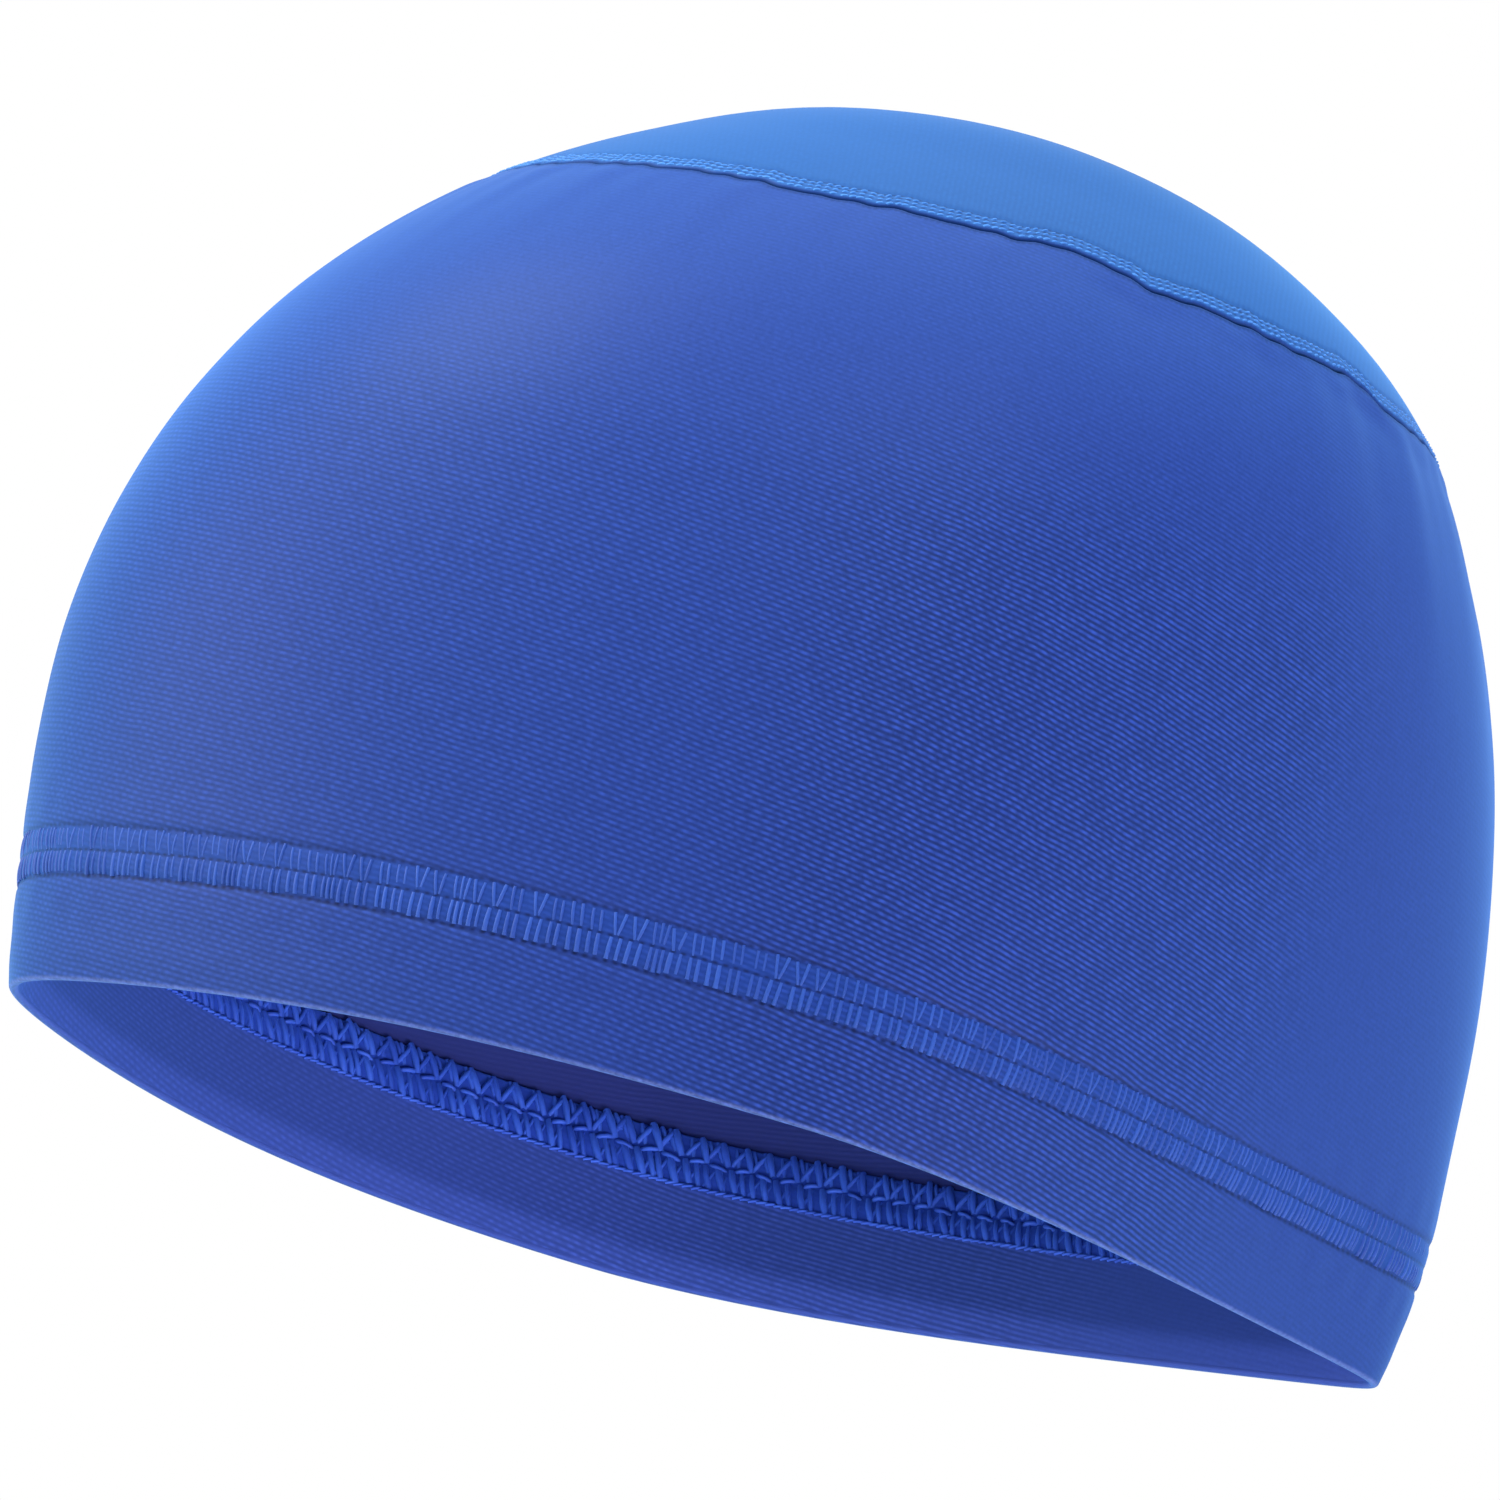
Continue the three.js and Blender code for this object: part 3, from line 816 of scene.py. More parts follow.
    def sew(self, path: np.ndarray, outward: np.ndarray, thread: bpy.types.Material) -> bpy.types.Object:
        """Sews the run along a closed path.

        Args:
            path: Points of the path, in order.
            outward: Direction out of the cloth at each point.
            thread: Finish of the thread.

        Returns:
            The run as a plain mesh object at the origin.
        """
        count = len(path)
        mesh = bpy.data.meshes.new(self.name + "_path")
        mesh.from_pydata(path.tolist(), [(k, (k + 1) % count) for k in range(count)], [])
        attribute = mesh.attributes.new("outward", "FLOAT_VECTOR", "POINT")
        attribute.data.foreach_set("vector", outward.astype(np.float32).ravel())
        guide = bpy.data.objects.new(self.name + "_guide", mesh)
        bpy.context.scene.collection.objects.link(guide)
        tree, names = self.tree()
        modifier = guide.modifiers.new("stitches", "NODES")
        modifier.node_group = tree
        values = {"Pitch": self.pitch, "Stitch Width": self.width, "Stitch Height": self.height,
                  "Thread Radius": self.thread_radius, "Lift": self.lift, "Wander": self.wander,
                  "Sway": self.sway, "Seed": self.seed, "Thread": thread}
        for label, value in values.items():
            modifier[names[label]] = value
        graph = bpy.context.evaluated_depsgraph_get()
        sewn = bpy.data.meshes.new_from_object(guide.evaluated_get(graph))
        sewn.name = self.name
        bpy.data.objects.remove(guide)
        piece = bpy.data.objects.new(self.name, sewn)
        bpy.context.scene.collection.objects.link(piece)
        return piece


@dataclass
class SideCloth:
    """Side panel: the cloth that wraps round the head, with its folded rim and its hem stitching."""

    form: WornForm
    columns: int = 400
    fold_radius: float = 0.72 * MM
    fold_inset: float = 0.25 * MM
    fold_reach: float = 4.5 * MM
    band_low: float = 14.5 * MM
    band_middle: float = 17.9 * MM
    band_high: float = 21.2 * MM
    groove: float = 0.28 * MM
    swell: float = 0.1 * MM
    pucker: float = 0.36 * MM

    def angles(self) -> np.ndarray:
        """Angles of the columns."""
        return np.linspace(0, 2 * math.pi, self.columns, endpoint=False)

    def around(self) -> np.ndarray:
        """Measures the way round the cap at the height where it is longest.

        Returns:
            Distance at each column and at the full turn.
        """
        angles = np.append(self.angles(), 2 * math.pi)
        ring = self.form.point(np.full(len(angles), 2.5), angles)
        steps = np.linalg.norm(np.diff(ring, axis=0), axis=1)
        return np.append(0, np.cumsum(steps))

    def relief(self, rows: np.ndarray, angles: np.ndarray, up: np.ndarray, below: np.ndarray) -> np.ndarray:
        """Inset of the outside from the smooth form.

        Args:
            rows: Rows of the form.
            angles: Angles of the same points.
            up: Distance up the cloth from the rim.
            below: Distance down from the crown seam.

        Returns:
            Insets, with negative ones where the cloth swells out.
        """
        inset = self.form.gathers(rows, angles) + self.fold_inset * (1 - smooth_step(up / self.fold_reach))
        for height, share, width in ((self.band_low, 1.0, 0.55), (self.band_middle, 0.3, 0.4),
                                     (self.band_high, 0.75, 0.6)):
            inset = inset + self.groove * share * hump(up - height, width * MM)
        tug = 0.6 + 0.4 * np.sin(61 * angles + 1.3 * np.sin(7 * angles))
        inset = inset - self.swell * tug * hump(up - self.band_low + 3.4 * MM, 2.2 * MM)
        inset = inset - 0.7 * self.swell * tug * hump(up - self.band_high - 3.2 * MM, 2.4 * MM)
        ripple = np.sin(23 * angles + 0.6) + 0.8 * np.sin(37 * angles + 2.1) + 0.6 * np.sin(61 * angles + 4.0)
        ripple = ripple / 2.4 * (0.45 + 0.55 * np.sin(angles) ** 2)
        fading = np.exp(-np.maximum(0, below) / (13 * MM)) * smooth_step((below - 1 * MM) / (3 * MM))
        inset = inset + self.pucker * ripple * fading
        return inset + self.form.tuck(below)

    def panel(self, finish: bpy.types.Material) -> bpy.types.Object:
        """Builds the panel with its outside, fold and inside as one closed skin.

        Args:
            finish: Knit finish.

        Returns:
            The panel.
        """
        form, angles = self.form, self.angles()
        seam_rows = form.row_at_height(form.seam_height(angles))
        seam_up = form.distance_up(seam_rows, angles)
        hem_marks = np.concatenate([np.arange(self.fold_radius + 0.4 * MM, 3 * MM, 0.5 * MM),
                                    np.arange(3.3 * MM, 13 * MM, 1.2 * MM),
                                    np.arange(13 * MM, 23 * MM, 0.32 * MM),
                                    [23.6 * MM, 24.4 * MM, 25.2 * MM]])
        shares = np.linspace(0, 1, 76)[1:]
        high = 26 * MM + (seam_up - 7 * MM - 26 * MM)[None, :] * np.append(0, shares)[:, None]
        near_seam = seam_up[None, :] - np.array(SEAM_RINGS)[:, None] * MM
        ups = np.vstack([np.repeat(hem_marks[:, None], len(angles), 1), high, near_seam])
        grid_angles = np.broadcast_to(angles, ups.shape)
        rows = form.rows_up(ups, angles)
        outside = form.layer(rows, grid_angles, self.relief(rows, grid_angles, ups, seam_up[None, :] - ups))
        rings, marks, below = list(outside), list(ups), list(seam_up[None, :] - ups)
        # Down the inside to the hem, at the panel's thickness.
        inner_ups = seam_up[None, :] - np.array(INNER_SEAM_RINGS)[:, None] * MM
        inner_high = 4 * MM + (seam_up - 11 * MM)[None, :] * np.linspace(1, 0, 44)[:, None]
        inner_ups = np.vstack([inner_ups, inner_high])
        inner_angles = np.broadcast_to(angles, inner_ups.shape)
        inner_rows = form.rows_up(inner_ups, angles)
        # The inside turns in a little lower, so that the slanted cloth keeps its thickness.
        inner_tuck = form.tuck(seam_up[None, :] - inner_ups - 0.5 * form.wall)
        inner = form.layer(inner_rows, inner_angles,
                           form.gathers(inner_rows, inner_angles) + form.wall + inner_tuck)
        rings += list(inner)
        marks += list(inner_ups)
        outer_count = len(outside)
        unseen = np.full(len(angles), FAR_FROM_SEAM)
        below += [unseen] * len(inner)
        # Round the fold, from the hidden turn between the layers to the outside.
        for inset, up in HIDDEN_TURN:
            rings.append(self.ring(up * MM, inset * MM))
            marks.append(np.full(len(angles), -(2.4 + up) * MM))
            below.append(unseen)
        for turn in np.linspace(math.pi, 0, 12):
            inset = self.fold_inset + self.fold_radius * (1 - math.cos(turn))
            rings.append(self.ring(self.fold_radius * (1 - math.sin(turn)), inset))
            marks.append(np.full(len(angles), self.fold_radius * (1 - turn)))
            below.append(unseen)
        inner_face = np.zeros((len(rings), len(angles)))
        inner_face[outer_count:outer_count + len(inner)] = 1.0
        cloth = ClothMesh("side_panel_cloth", rings, marks)
        return cloth.build(self.around(), finish, {"below_seam": np.array(below), "inner_face": inner_face})

    def ring(self, up: float, inset: float) -> np.ndarray:
        """Ring of points on the cloth.

        Args:
            up: Distance up the cloth from the rim.
            inset: Depth below the smooth form.

        Returns:
            One point for each column.
        """
        angles = self.angles()
        rows = self.form.rows_up(np.full((1, len(angles)), up), angles)[0]
        return self.form.layer(rows, angles, inset)

    def path(self, up: float, inset: np.ndarray | float) -> tuple[np.ndarray, np.ndarray]:
        """Closed path for stitches on the outside.

        Args:
            up: Distance up the cloth from the rim.
            inset: Depth below the smooth form, for the whole path or for each column.

        Returns:
            Points of the path and the directions out of the cloth.
        """
        angles = self.angles()
        rows = self.form.rows_up(np.full((1, len(angles)), up), angles)[0]
        return self.form.layer(rows, angles, inset), self.form.outward(rows, angles)

    def hem_stitches(self, thread: bpy.types.Material) -> bpy.types.Object:
        """Sews the outside of the hem: small open Vs above the needle line, soft upright strokes below it.

        Args:
            thread: Finish of the thread.

        Returns:
            The stitches.
        """
        vee = (Strand((-0.34, 0.47), (-0.1, 0.03)), Strand((0.24, 0.48), (0.04, 0.04), bow=0.02),
               Strand((-0.24, -0.03), (-0.27, -0.47), thickness=1.3),
               Strand((0.24, -0.02), (0.2, -0.46), thickness=1.2))
        wide = (Strand((-0.36, 0.45), (-0.24, 0.03), bow=-0.03),
                Strand((0.0, 0.47), (0.06, 0.02), thickness=0.9),
                Strand((0.34, 0.46), (0.26, 0.04)), Strand((-0.3, -0.03), (-0.32, -0.45), thickness=1.2),
                Strand((0.0, -0.04), (0.02, -0.47), thickness=1.3),
                Strand((0.32, -0.03), (0.32, -0.46), thickness=1.2))
        narrow = (Strand((-0.3, 0.48), (-0.12, 0.02), thickness=1.1), Strand((0.26, 0.45), (0.08, 0.04)),
                  Strand((-0.18, -0.04), (-0.22, -0.47), thickness=1.5),
                  Strand((0.24, -0.02), (0.2, -0.45), thickness=1.1))
        leaning = (Strand((-0.32, 0.47), (-0.2, 0.03), bow=-0.03), Strand((0.1, 0.46), (0.2, 0.04), bow=0.02),
                   Strand((-0.26, -0.03), (-0.2, -0.46), thickness=1.3),
                   Strand((0.18, -0.03), (0.22, -0.47), thickness=1.4))
        run = StitchRun("hem_stitches_outside", 2.8 * MM, 2.8 * MM, 6.7 * MM, 0.28 * MM, 0.13 * MM,
                        (vee, wide, narrow, leaning), wander=0.08, sway=0.05, seed=11)
        # The stitches lie a little deeper where the cloth turns sharply at the back.
        sunk = 0.22 * MM + 0.28 * MM * hump(self.form.side_angle(self.angles()) - 90, 16)
        return run.sew(*self.path(self.band_middle, sunk), thread)


@dataclass
class HemBand:
    """Turned-up inner layer of the hem and the looper stitches that cover its raw edge."""

    side: SideCloth
    thickness: float = 1.2 * MM
    rings: int = 34
    raw_edge: float = 23.2 * MM
    looper_middle: float = 19.5 * MM
    looper_half: float = 4.1 * MM

    def depth(self, up: np.ndarray) -> np.ndarray:
        """Inset of the hem's inner face: the looper threads press its top edge down to the side panel.

        Args:
            up: Distance up the cloth from the rim.

        Returns:
            Depth below the smooth form.
        """
        form = self.side.form
        full = form.wall + form.layer_gap + self.thickness - 1 * MM * (1 - smooth_step(up / (5 * MM)))
        dip = 0.25 * MM * hump(up - self.looper_middle, 0.6 * MM)
        return full - 0.85 * MM * smooth_step((up - 17 * MM) / (6 * MM)) - dip

    def band(self, finish: bpy.types.Material) -> bpy.types.Object:
        """Builds the band as one closed skin from just above the fold to the raw edge.

        Args:
            finish: Knit finish.

        Returns:
            The band.
        """
        form, angles = self.side.form, self.side.angles()
        face_ups = np.linspace(self.raw_edge - 0.2 * MM, self.side.fold_radius + 0.3 * MM, self.rings)
        rings, marks = [], []
        for up in (4.5, 12.0, 18.0):
            rings.append(self.side.ring(up * MM, form.wall + form.layer_gap))
            marks.append(np.full(len(angles), -up * MM))
        top = self.raw_edge
        inner = float(self.depth(np.array(top)))
        for inset, up in ((form.wall + 0.25 * MM, top - 0.2 * MM), (form.wall + 0.4 * MM, top),
                          (inner - 0.15 * MM, top)):
            rings.append(self.side.ring(up, inset))
            marks.append(np.full(len(angles), -up))
        for up in face_ups:
            rings.append(self.side.ring(float(up), float(self.depth(np.array(up)))))
            marks.append(np.full(len(angles), -(1.5 * MM + up)))
        # The face runs on into the fold, so that no edge shows between the two.
        for up, inset in FOLD_TURN:
            rings.append(self.side.ring(up * MM, inset * MM))
            marks.append(np.full(len(angles), -(1.5 + up) * MM))
        cloth = ClothMesh("hem_band_cloth", rings, marks)
        return cloth.build(self.side.around(), finish, {})

    def face_inset(self, up: float) -> float:
        """Inset of the inner surface that the looper threads lie on at one distance up the cloth."""
        return float(self.depth(np.array(up))) if up < self.raw_edge else self.side.form.wall + 0.4 * MM

    def looper_path(self, up: float, proud: float) -> tuple[np.ndarray, np.ndarray]:
        """Path on the inner face with directions that point into the cap's hollow.

        Args:
            up: Distance up the cloth from the rim.
            proud: How far the path stands off the face.

        Returns:
            Points and unit directions.
        """
        ring = self.side.ring(up, float(self.depth(np.array(up))) + proud)
        upper, lower = (self.side.ring(edge, self.face_inset(edge))
                        for edge in (up + self.looper_half, up - self.looper_half))
        around = np.roll(ring, -1, axis=0) - np.roll(ring, 1, axis=0)
        inward = np.cross(upper - lower, around)
        return ring, inward / np.linalg.norm(inward, axis=1, keepdims=True)

    def looper_stitches(self, thread: bpy.types.Material) -> bpy.types.Object:
        """Sews the inside cover band: thick leaning loops above a middle line, and a zigzag below it.

        Args:
            thread: Finish of the thread.

        Returns:
            The stitches.
        """
        one = (Strand((-0.46, 0.47), (0.04, 0.03), thickness=1.35, bow=0.04),
               Strand((0.04, 0.04), (0.4, 0.44), thickness=0.8, arch=0.6),
               Strand((0.12, 0.48), (0.56, 0.04), thickness=1.1, bow=0.04),
               Strand((-0.5, 0.1), (-0.28, 0.42), thickness=0.7, arch=0.5),
               Strand((-0.36, -0.05), (0.12, -0.46), thickness=1.35, bow=0.04),
               Strand((0.12, -0.46), (0.58, -0.06), bow=0.03),
               Strand((-0.1, -0.1), (0.34, -0.46), thickness=0.9, arch=0.6),
               Strand((-0.34, 0.06), (0.34, 0.0), arch=1.4, thickness=0.85, bow=0.05))
        two = (Strand((-0.42, 0.48), (0.0, 0.02), bow=0.03),
               Strand((0.0, 0.46), (0.48, 0.03), thickness=1.35, bow=0.04),
               Strand((-0.2, 0.06), (0.06, 0.4), thickness=0.75, arch=0.5),
               Strand((-0.44, -0.03), (0.08, -0.48), thickness=1.3, bow=-0.03),
               Strand((0.06, -0.44), (0.5, -0.08)),
               Strand((-0.62, -0.2), (-0.28, -0.46), thickness=0.8, arch=0.6),
               Strand((0.18, -0.08), (0.5, -0.42), thickness=0.9, arch=0.6),
               Strand((-0.3, -0.04), (0.3, 0.04), arch=1.4, thickness=0.85))
        run = StitchRun("hem_stitches_inside", 3.5 * MM, 3.5 * MM, 2 * self.looper_half, 0.42 * MM, 0.3 * MM,
                        (one, two), wander=0.06, sway=0.05, seed=23)
        return run.sew(*self.looper_path(self.looper_middle, 0.1 * MM), thread)

    def edge_cord(self, thread: bpy.types.Material) -> bpy.types.Object:
        """Sews the twisted lower edge of the inside cover band.

        Args:
            thread: Finish of the thread.

        Returns:
            The twisted edge.
        """
        grain = (Strand((-0.62, -0.22), (0.62, 0.22), arch=0.8, start_dip=-0.2, end_dip=-0.2),)
        run = StitchRun("hem_edge_cord", 1.25 * MM, 1.25 * MM, 0.9 * MM, 0.24 * MM, 0.16 * MM, (grain,),
                        wander=0.05, sway=0.1, seed=31)
        return run.sew(*self.looper_path(self.looper_middle - self.looper_half - 0.1 * MM, 0.1 * MM), thread)


@dataclass
class CrownCloth:
    """Crown panel with its rounded, stitched edge, and the seam that joins it to the side panel."""

    form: WornForm
    columns: int = 480
    edge_round: float = 0.35 * MM
    edge_swell: float = 0.07 * MM
    thread_groove: float = 0.12 * MM

    def angles(self) -> np.ndarray:
        """Angles of the columns."""
        return np.linspace(0, 2 * math.pi, self.columns, endpoint=False)

    def seam_up(self) -> np.ndarray:
        """Distance up the cloth from the rim to the seam at each column."""
        angles = self.angles()
        return self.form.distance_up(self.form.row_at_height(self.form.seam_height(angles)), angles)

    def stand(self, past: np.ndarray) -> np.ndarray:
        """How far the outside stands above the smooth form, from the distance up from the panel's edge."""
        swell = self.edge_swell * hump(past - 1.6 * MM, 1.2 * MM)
        return swell - self.thread_groove * hump(past - 3.3 * MM, 0.45 * MM)

    def ring(self, past: np.ndarray | float, inset: np.ndarray | float) -> np.ndarray:
        """Ring of points on the crown panel.

        Args:
            past: Distance up the cloth from the seam line.
            inset: Depth below the smooth form.

        Returns:
            One point for each column.
        """
        angles = self.angles()
        rows = self.form.rows_up((self.seam_up() + past)[None, :], angles)[0]
        return self.form.layer(rows, angles, inset)

    def panel(self, finish: bpy.types.Material) -> bpy.types.Object:
        """Builds the panel as one closed skin with a rounded edge.

        Args:
            finish: Knit finish.

        Returns:
            The panel.
        """
        form, angles = self.form, self.angles()
        seam_up = self.seam_up()
        top_up = form.distance_up(np.full(len(angles), float(form.apex_row)), angles)
        past = np.concatenate([np.arange(0.5, 4, 0.3), np.arange(4.4, 9, 0.8)]) * MM
        rings, marks = [], []
        for turn in np.linspace(0, math.pi, 10)[1:-1]:
            rings.append(self.ring(self.edge_round * (1 - math.sin(turn)),
                                   form.wall / 2 * (1 + math.cos(turn))))
            marks.append(np.full(len(angles), self.edge_round * 0.5))
        for distance in past:
            rings.append(self.ring(distance, -self.stand(np.array(distance))))
            marks.append(np.full(len(angles), distance))
        for share in np.linspace(0, 1, 27)[:-1]:
            reach = past[-1] + 1 * MM + (top_up - seam_up - past[-1] - 1 * MM) * share
            rings.append(self.ring(reach, -self.stand(reach)))
            marks.append(reach)
        apex_after = len(rings) - 1
        outer_count = len(rings)
        for share in np.linspace(1, 0, 15)[1:]:
            reach = past[-1] + (top_up - seam_up - past[-1]) * share
            rings.append(self.ring(reach, form.wall))
            marks.append(reach)
        for distance in (6.0, 3.5, 1.5, 0.6):
            rings.append(self.ring(distance * MM, form.wall))
            marks.append(np.full(len(angles), distance * MM))
        apex = form.point(np.array(float(form.apex_row)), np.array(0.0))
        cloth = ClothMesh("crown_panel_cloth", rings, marks, (apex, apex - np.array([0, 0, form.wall])),
                          apex_after)
        ring = form.point(form.row_at_height(form.seam_height(angles)), angles)
        steps = np.linalg.norm(np.roll(ring, -1, axis=0) - ring, axis=1)
        inner_face = np.zeros((len(rings), len(angles)))
        inner_face[outer_count:] = 1.0
        return cloth.build(np.append(0, np.cumsum(steps)), finish, {"inner_face": inner_face})

    def seam_stitches(self, thread: bpy.types.Material) -> bpy.types.Object:
        """Sews the seam's edge: three flat rows of short slanted grains.

        Args:
            thread: Finish of the thread.

        Returns:
            The grains.
        """
        plain = (Strand((-0.34, -0.38), (0.3, -0.27), thickness=1.3),
                 Strand((-0.32, -0.05), (0.26, 0.06), thickness=1.1),
                 Strand((-0.3, 0.27), (0.26, 0.38)))
        loose = (Strand((-0.32, -0.36), (0.32, -0.29), thickness=1.2),
                 Strand((-0.28, -0.03), (0.3, 0.05), thickness=1.15),
                 Strand((-0.32, 0.28), (0.24, 0.36)))
        run = StitchRun("crown_seam_stitches", 1.25 * MM, 1.25 * MM, 3.0 * MM, 0.16 * MM, 0.1 * MM,
                        (plain, loose),
                        wander=0.06, sway=0.08, seed=41)
        angles = self.angles()
        rows = self.form.rows_up((self.seam_up() + 1.75 * MM)[None, :], angles)[0]
        lift = float(self.stand(np.array(1.75 * MM))) - 0.12 * MM
        return run.sew(self.form.layer(rows, angles, -lift), self.form.outward(rows, angles), thread)

    def inside_seam(self, thread: bpy.types.Material) -> bpy.types.Object:
        """Sews the overlocked seam allowance on the inside, round the side panel's top edge.

        Args:
            thread: Finish of the thread.

        Returns:
            The stitches.
        """
        zigzag = (Strand((-0.5, -0.45), (0.0, 0.45)), Strand((0.0, 0.45), (0.5, -0.45)),
                  Strand((-0.4, -0.3), (0.4, -0.3), arch=1.4, thickness=0.8))
        run = StitchRun("crown_seam_inside", 3.0 * MM, 3.0 * MM, 4.2 * MM, 0.25 * MM, 0.3 * MM, (zigzag,),
                        wander=0.06, sway=0.06, seed=53)
        angles = self.angles()
        rows = self.form.rows_up((self.seam_up() + 2.5 * MM)[None, :], angles)[0]
        inset = self.form.tuck_depth + self.form.wall + 0.1 * MM
        return run.sew(self.form.layer(rows, angles, inset), -self.form.outward(rows, angles), thread)


@dataclass(frozen=True)
class SoftLamp:
    """One soft square light that faces the cap: its place and side in metres, its power in watts."""

    name: str
    place: tuple[float, float, float]
    size: float
    power: float
    colour: str = "#ffffff"


@dataclass
class Studio:
    """Plain white studio: a pale floor far below, soft lights and the long-lens camera below the rim."""

    azimuth: float = -8.4
    elevation: float = -12.16
    roll: float = 14.97
    distance: float = 1.8
    aim: tuple[float, float, float] = (0.0, -8.9 * MM, 63.7 * MM)
    lens: float = 310.0
    floor_height: float = -0.75
    lamp_aim: tuple[float, float, float] = (0.0, 0.0, 0.07)
    lamps: tuple[SoftLamp, ...] = (
        SoftLamp("front_above", (0.2, -1.5, 1.6), 1.0, 96.0, "#efffe6"),
        SoftLamp("top", (-0.2, 0.1, 2.1), 1.2, 24.0, "#d4f6ff"),
        SoftLamp("near_side_above", (1.5, 0.1, 1.5), 1.0, 68.0, "#c8e6ff"),
        SoftLamp("back", (-0.2, 2.0, 0.8), 0.9, 1.9),
        SoftLamp("front_low", (-0.1, -2.0, 0.2), 0.9, 41.0, "#ffe6de"),
        SoftLamp("below", (1.0, -0.5, -0.65), 0.6, 1.8),
        SoftLamp("below_back", (0.7, 0.9, -0.6), 0.6, 18.0, "#ffecf5"),
    )

    def camera(self) -> None:
        """Places the camera at the photograph's viewing angle."""
        turn, tilt, roll = (math.radians(v) for v in (self.azimuth, self.elevation, self.roll))
        back = Vector((math.cos(turn) * math.cos(tilt), math.sin(turn) * math.cos(tilt), math.sin(tilt)))
        level = (-back).cross(Vector((0, 0, 1))).normalized()
        upright = level.cross(-back)
        across = level * math.cos(roll) + upright * math.sin(roll)
        up = upright * math.cos(roll) - level * math.sin(roll)
        data = bpy.data.cameras.new("photo_camera")
        data.lens = self.lens
        data.sensor_width = 36
        data.clip_start, data.clip_end = 0.05, 50
        camera = bpy.data.objects.new("photo_camera", data)
        matrix = Matrix((across, up, back)).transposed().to_4x4()
        matrix.translation = Vector(self.aim) + back * self.distance
        camera.matrix_world = matrix
        bpy.context.scene.collection.objects.link(camera)
        bpy.context.scene.camera = camera

    def floor(self) -> None:
        """Lays a wide round pale floor."""
        count, radius = 96, 14.0
        rim = [(radius * math.cos(2 * math.pi * k / count), radius * math.sin(2 * math.pi * k / count),
                self.floor_height) for k in range(count)]
        mesh = bpy.data.meshes.new("studio_floor")
        mesh.from_pydata(rim, [], [list(range(count))])
        material = bpy.data.materials.new("matt_studio_paper")
        material.use_nodes = True
        tree = material.node_tree
        tree.nodes.clear()
        # Matt paper gives back soft white light and no reflection.
        surface = add_node(tree, "ShaderNodeBsdfPrincipled",
                           {"Base Color": linear("#f2f2f2"), "Roughness": 0.9, "Specular IOR Level": 0.2})
        add_node(tree, "ShaderNodeOutputMaterial", {"Surface": surface.outputs[0]})
        mesh.materials.append(material)
        floor = bpy.data.objects.new("studio_floor", mesh)
        bpy.context.scene.collection.objects.link(floor)

    def lights(self) -> None:
        """Lights the cap from above, the front, the back and below, in a white room."""
        for lamp in self.lamps:
            data = bpy.data.lights.new(lamp.name, "AREA")
            data.size, data.energy, data.color = lamp.size, lamp.power, linear(lamp.colour)[:3]
            light = bpy.data.objects.new(lamp.name, data)
            light.location = lamp.place
            turn = (Vector(self.lamp_aim) - Vector(lamp.place)).to_track_quat("-Z", "Y")
            light.rotation_euler = turn.to_euler()
            bpy.context.scene.collection.objects.link(light)
        world = bpy.data.worlds.new("white_room")
        world.use_nodes = True
        world.node_tree.nodes.clear()
        glow = add_node(world.node_tree, "ShaderNodeBackground", {"Color": (1, 1, 1, 1), "Strength": 1.0})
        add_node(world.node_tree, "ShaderNodeOutputWorld", {"Surface": glow.outputs[0]})
        bpy.context.scene.world = world
        bpy.context.scene.view_settings.view_transform = "Standard"


def place_piece(piece: bpy.types.Object, slot: Slot, *nodes: str) -> None:
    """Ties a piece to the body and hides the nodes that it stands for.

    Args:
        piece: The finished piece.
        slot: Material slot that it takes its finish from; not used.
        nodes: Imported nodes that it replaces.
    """
    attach(piece, "root")
    if nodes:
        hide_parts(*nodes)
    triangles = sum(len(face.vertices) - 2 for face in piece.data.polygons)
    LOG.info("%s: %d triangles", piece.name, triangles)


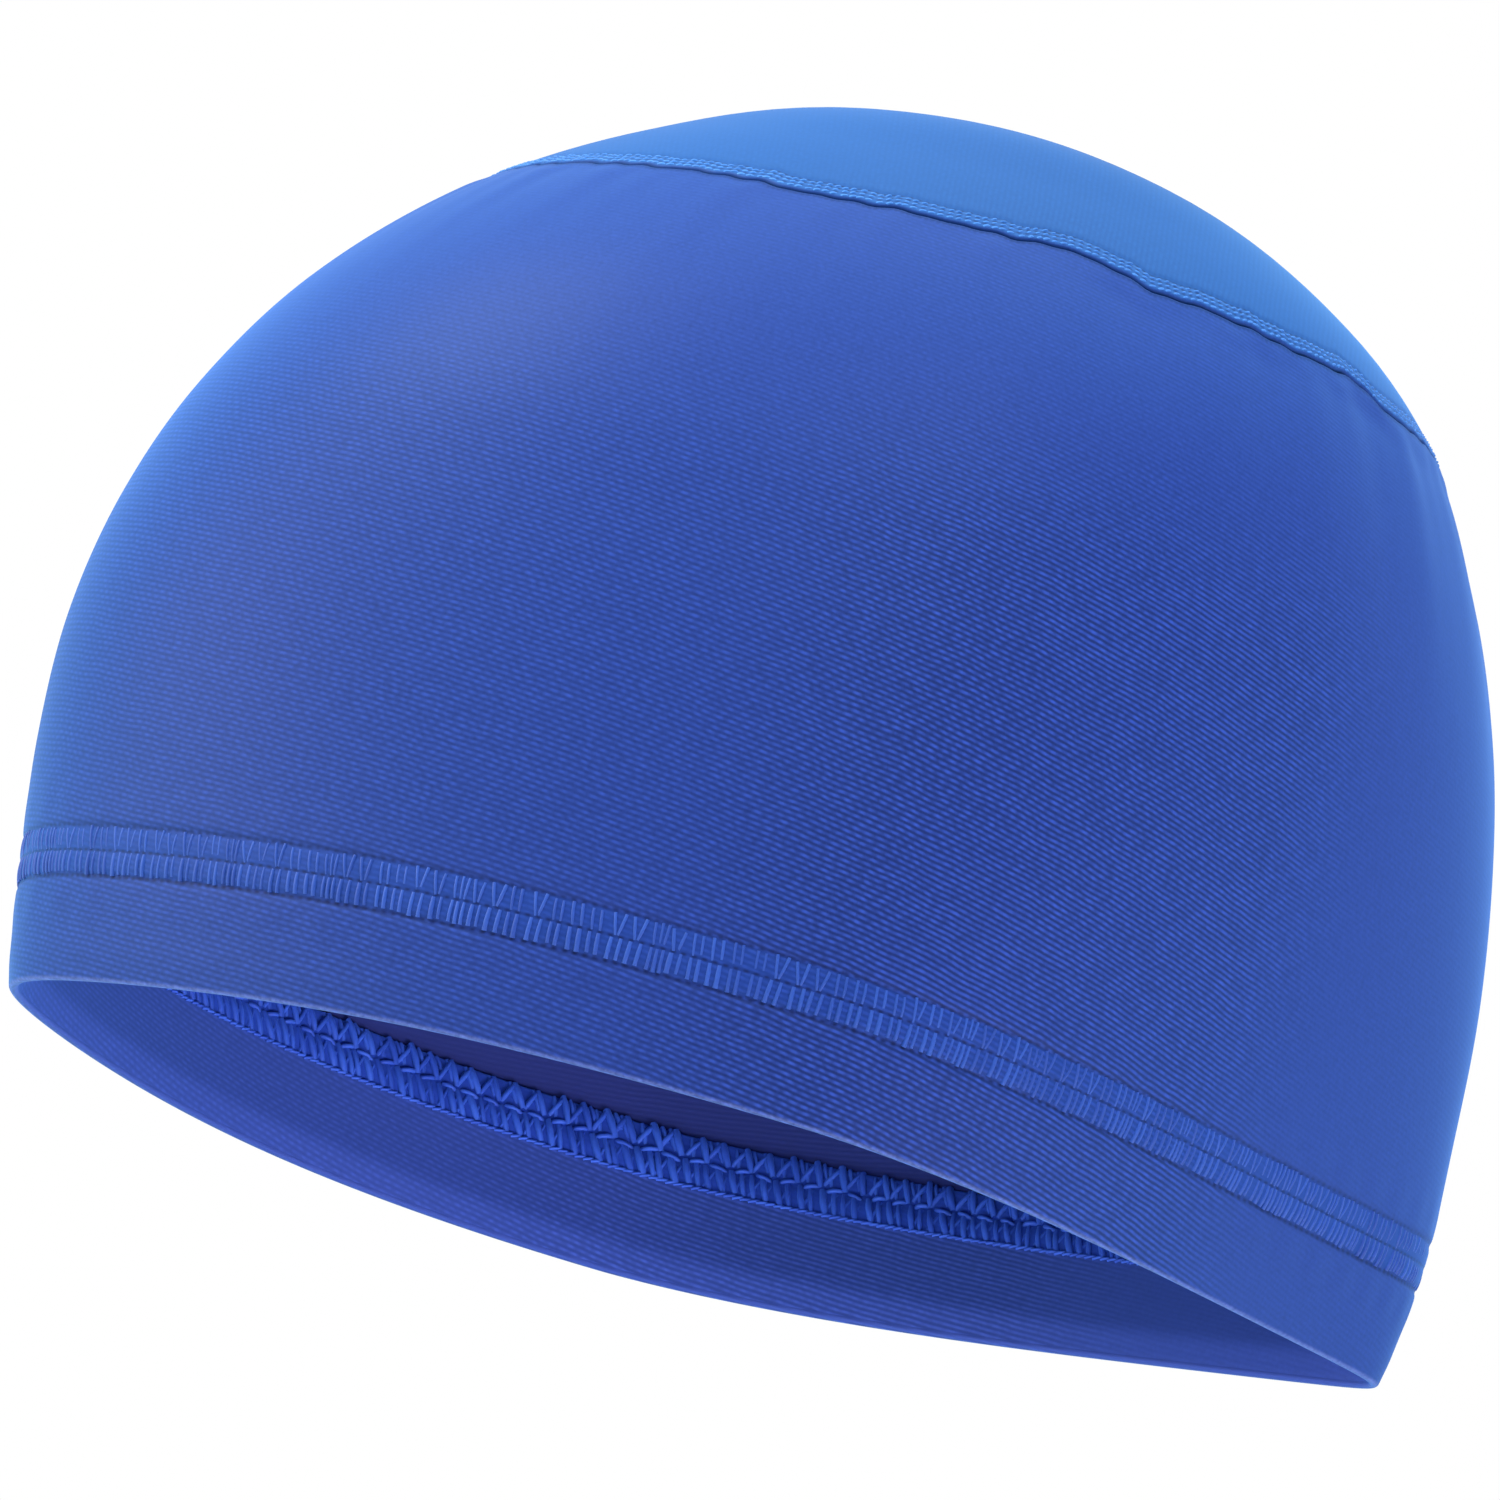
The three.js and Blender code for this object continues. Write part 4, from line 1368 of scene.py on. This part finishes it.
def main() -> None:
    """Builds the studio, then the cap from the rim up."""
    logging.basicConfig(level=logging.INFO, format="%(name)s: %(message)s")
    studio = Studio()
    studio.camera()
    studio.floor()
    studio.lights()
    form = WornForm()
    side = SideCloth(form)
    turn = float(side.around()[-1]) / MM
    # Deep royal yarn whose stretched satin ribs catch the light in short pale floats.
    side_knit = KnitCloth(
        "side_warp_knit_polyester", "#0f1944", "#22357a",
        needle_lines=(NeedleLine(14.4, 0.5, 0.85), NeedleLine(17.95, 0.4, 0.9), NeedleLine(21.4, 0.5, 0.65)),
        # The second band is painted light: it lightens the fold's inner turn to match the hem's painted-lighter
        # face.
        bands=(ThreadTintAndPaintedLightBand(14.6, 21.2, 0.55, "#112864"), ThreadTintAndPaintedLightBand(-9.0, -0.7, 0.9, "#2d3d84")),
        turn_length=turn, fold_light=0.2, ditch="below_seam", back="#262c69").build()
    # The same knit seen from its face inside the rim, painted lighter than the outside's knit to stand in for
    # the light that reaches it there, and quieter because it lies in its own shade.
    hem_knit_painted_lighter = KnitCloth("hem_warp_knit_painted_lighter", "#1f2d67", "#3a4fa9", turn_length=turn, contrast=0.6,
                         bands=(ThreadTintAndPaintedLightBand(-26.0, -16.8, 0.8, "#1e399a"),)).build()
    # Smoother and paler: the crown is hardly stretched, so its ribs close up to an even satin. Its paler,
    # greener blue is painted light, for the top of the cap that the lamps light most.
    crown_knit = KnitCloth("crown_smooth_warp_knit", "#112b54", "#1d4076", contrast=1.1,
                           relief=0.1, flat_laid=True, dot_pitch=1.25, back="#20306a",
                           needle_lines=(NeedleLine(1.28, 0.4, 0.8), NeedleLine(2.22, 0.42, 1.0),
                                         NeedleLine(3.2, 0.42, 0.95)),
                           # The first band is painted shade on the crown's rounded edge over the seam's ditch;
                           # the second is the tint of the seam thread.
                           bands=(ThreadTintAndPaintedLightBand(-1.0, 0.3, 0.7, "#16225c"),
                                  ThreadTintAndPaintedLightBand(0.6, 3.0, 0.4, "#25477d"))).build()
    # Bulky threads with a soft shine: near the cloth's colour outside and clearer blue inside.
    hem_thread = SewingThread("hem_overlock_thread", "#11245f", "#213e81").build()
    looper_thread = SewingThread("looper_bulk_thread", "#1d3491", "#3155b9").build()
    seam_thread = SewingThread("crown_seam_thread", "#204a85", "#35639f").build()

    side_piece = side.panel(side_knit)
    place_piece(side_piece, Slot.SIDE, "side_panel")
    hem_outside = side.hem_stitches(hem_thread)
    place_piece(hem_outside, Slot.SIDE)

    hem = HemBand(side)
    hem_piece = hem.band(hem_knit_painted_lighter)
    place_piece(hem_piece, Slot.HEM, "hem_band")
    looper = hem.looper_stitches(looper_thread)
    place_piece(looper, Slot.HEM)
    cord = hem.edge_cord(looper_thread)
    place_piece(cord, Slot.HEM)

    crown = CrownCloth(form)
    crown_piece = crown.panel(crown_knit)
    place_piece(crown_piece, Slot.CROWN, "crown_panel")
    seam = crown.seam_stitches(seam_thread)
    place_piece(seam, Slot.CROWN)
    seam_inside = crown.inside_seam(looper_thread)
    place_piece(seam_inside, Slot.CROWN)


if __name__ == "__main__":
    main()
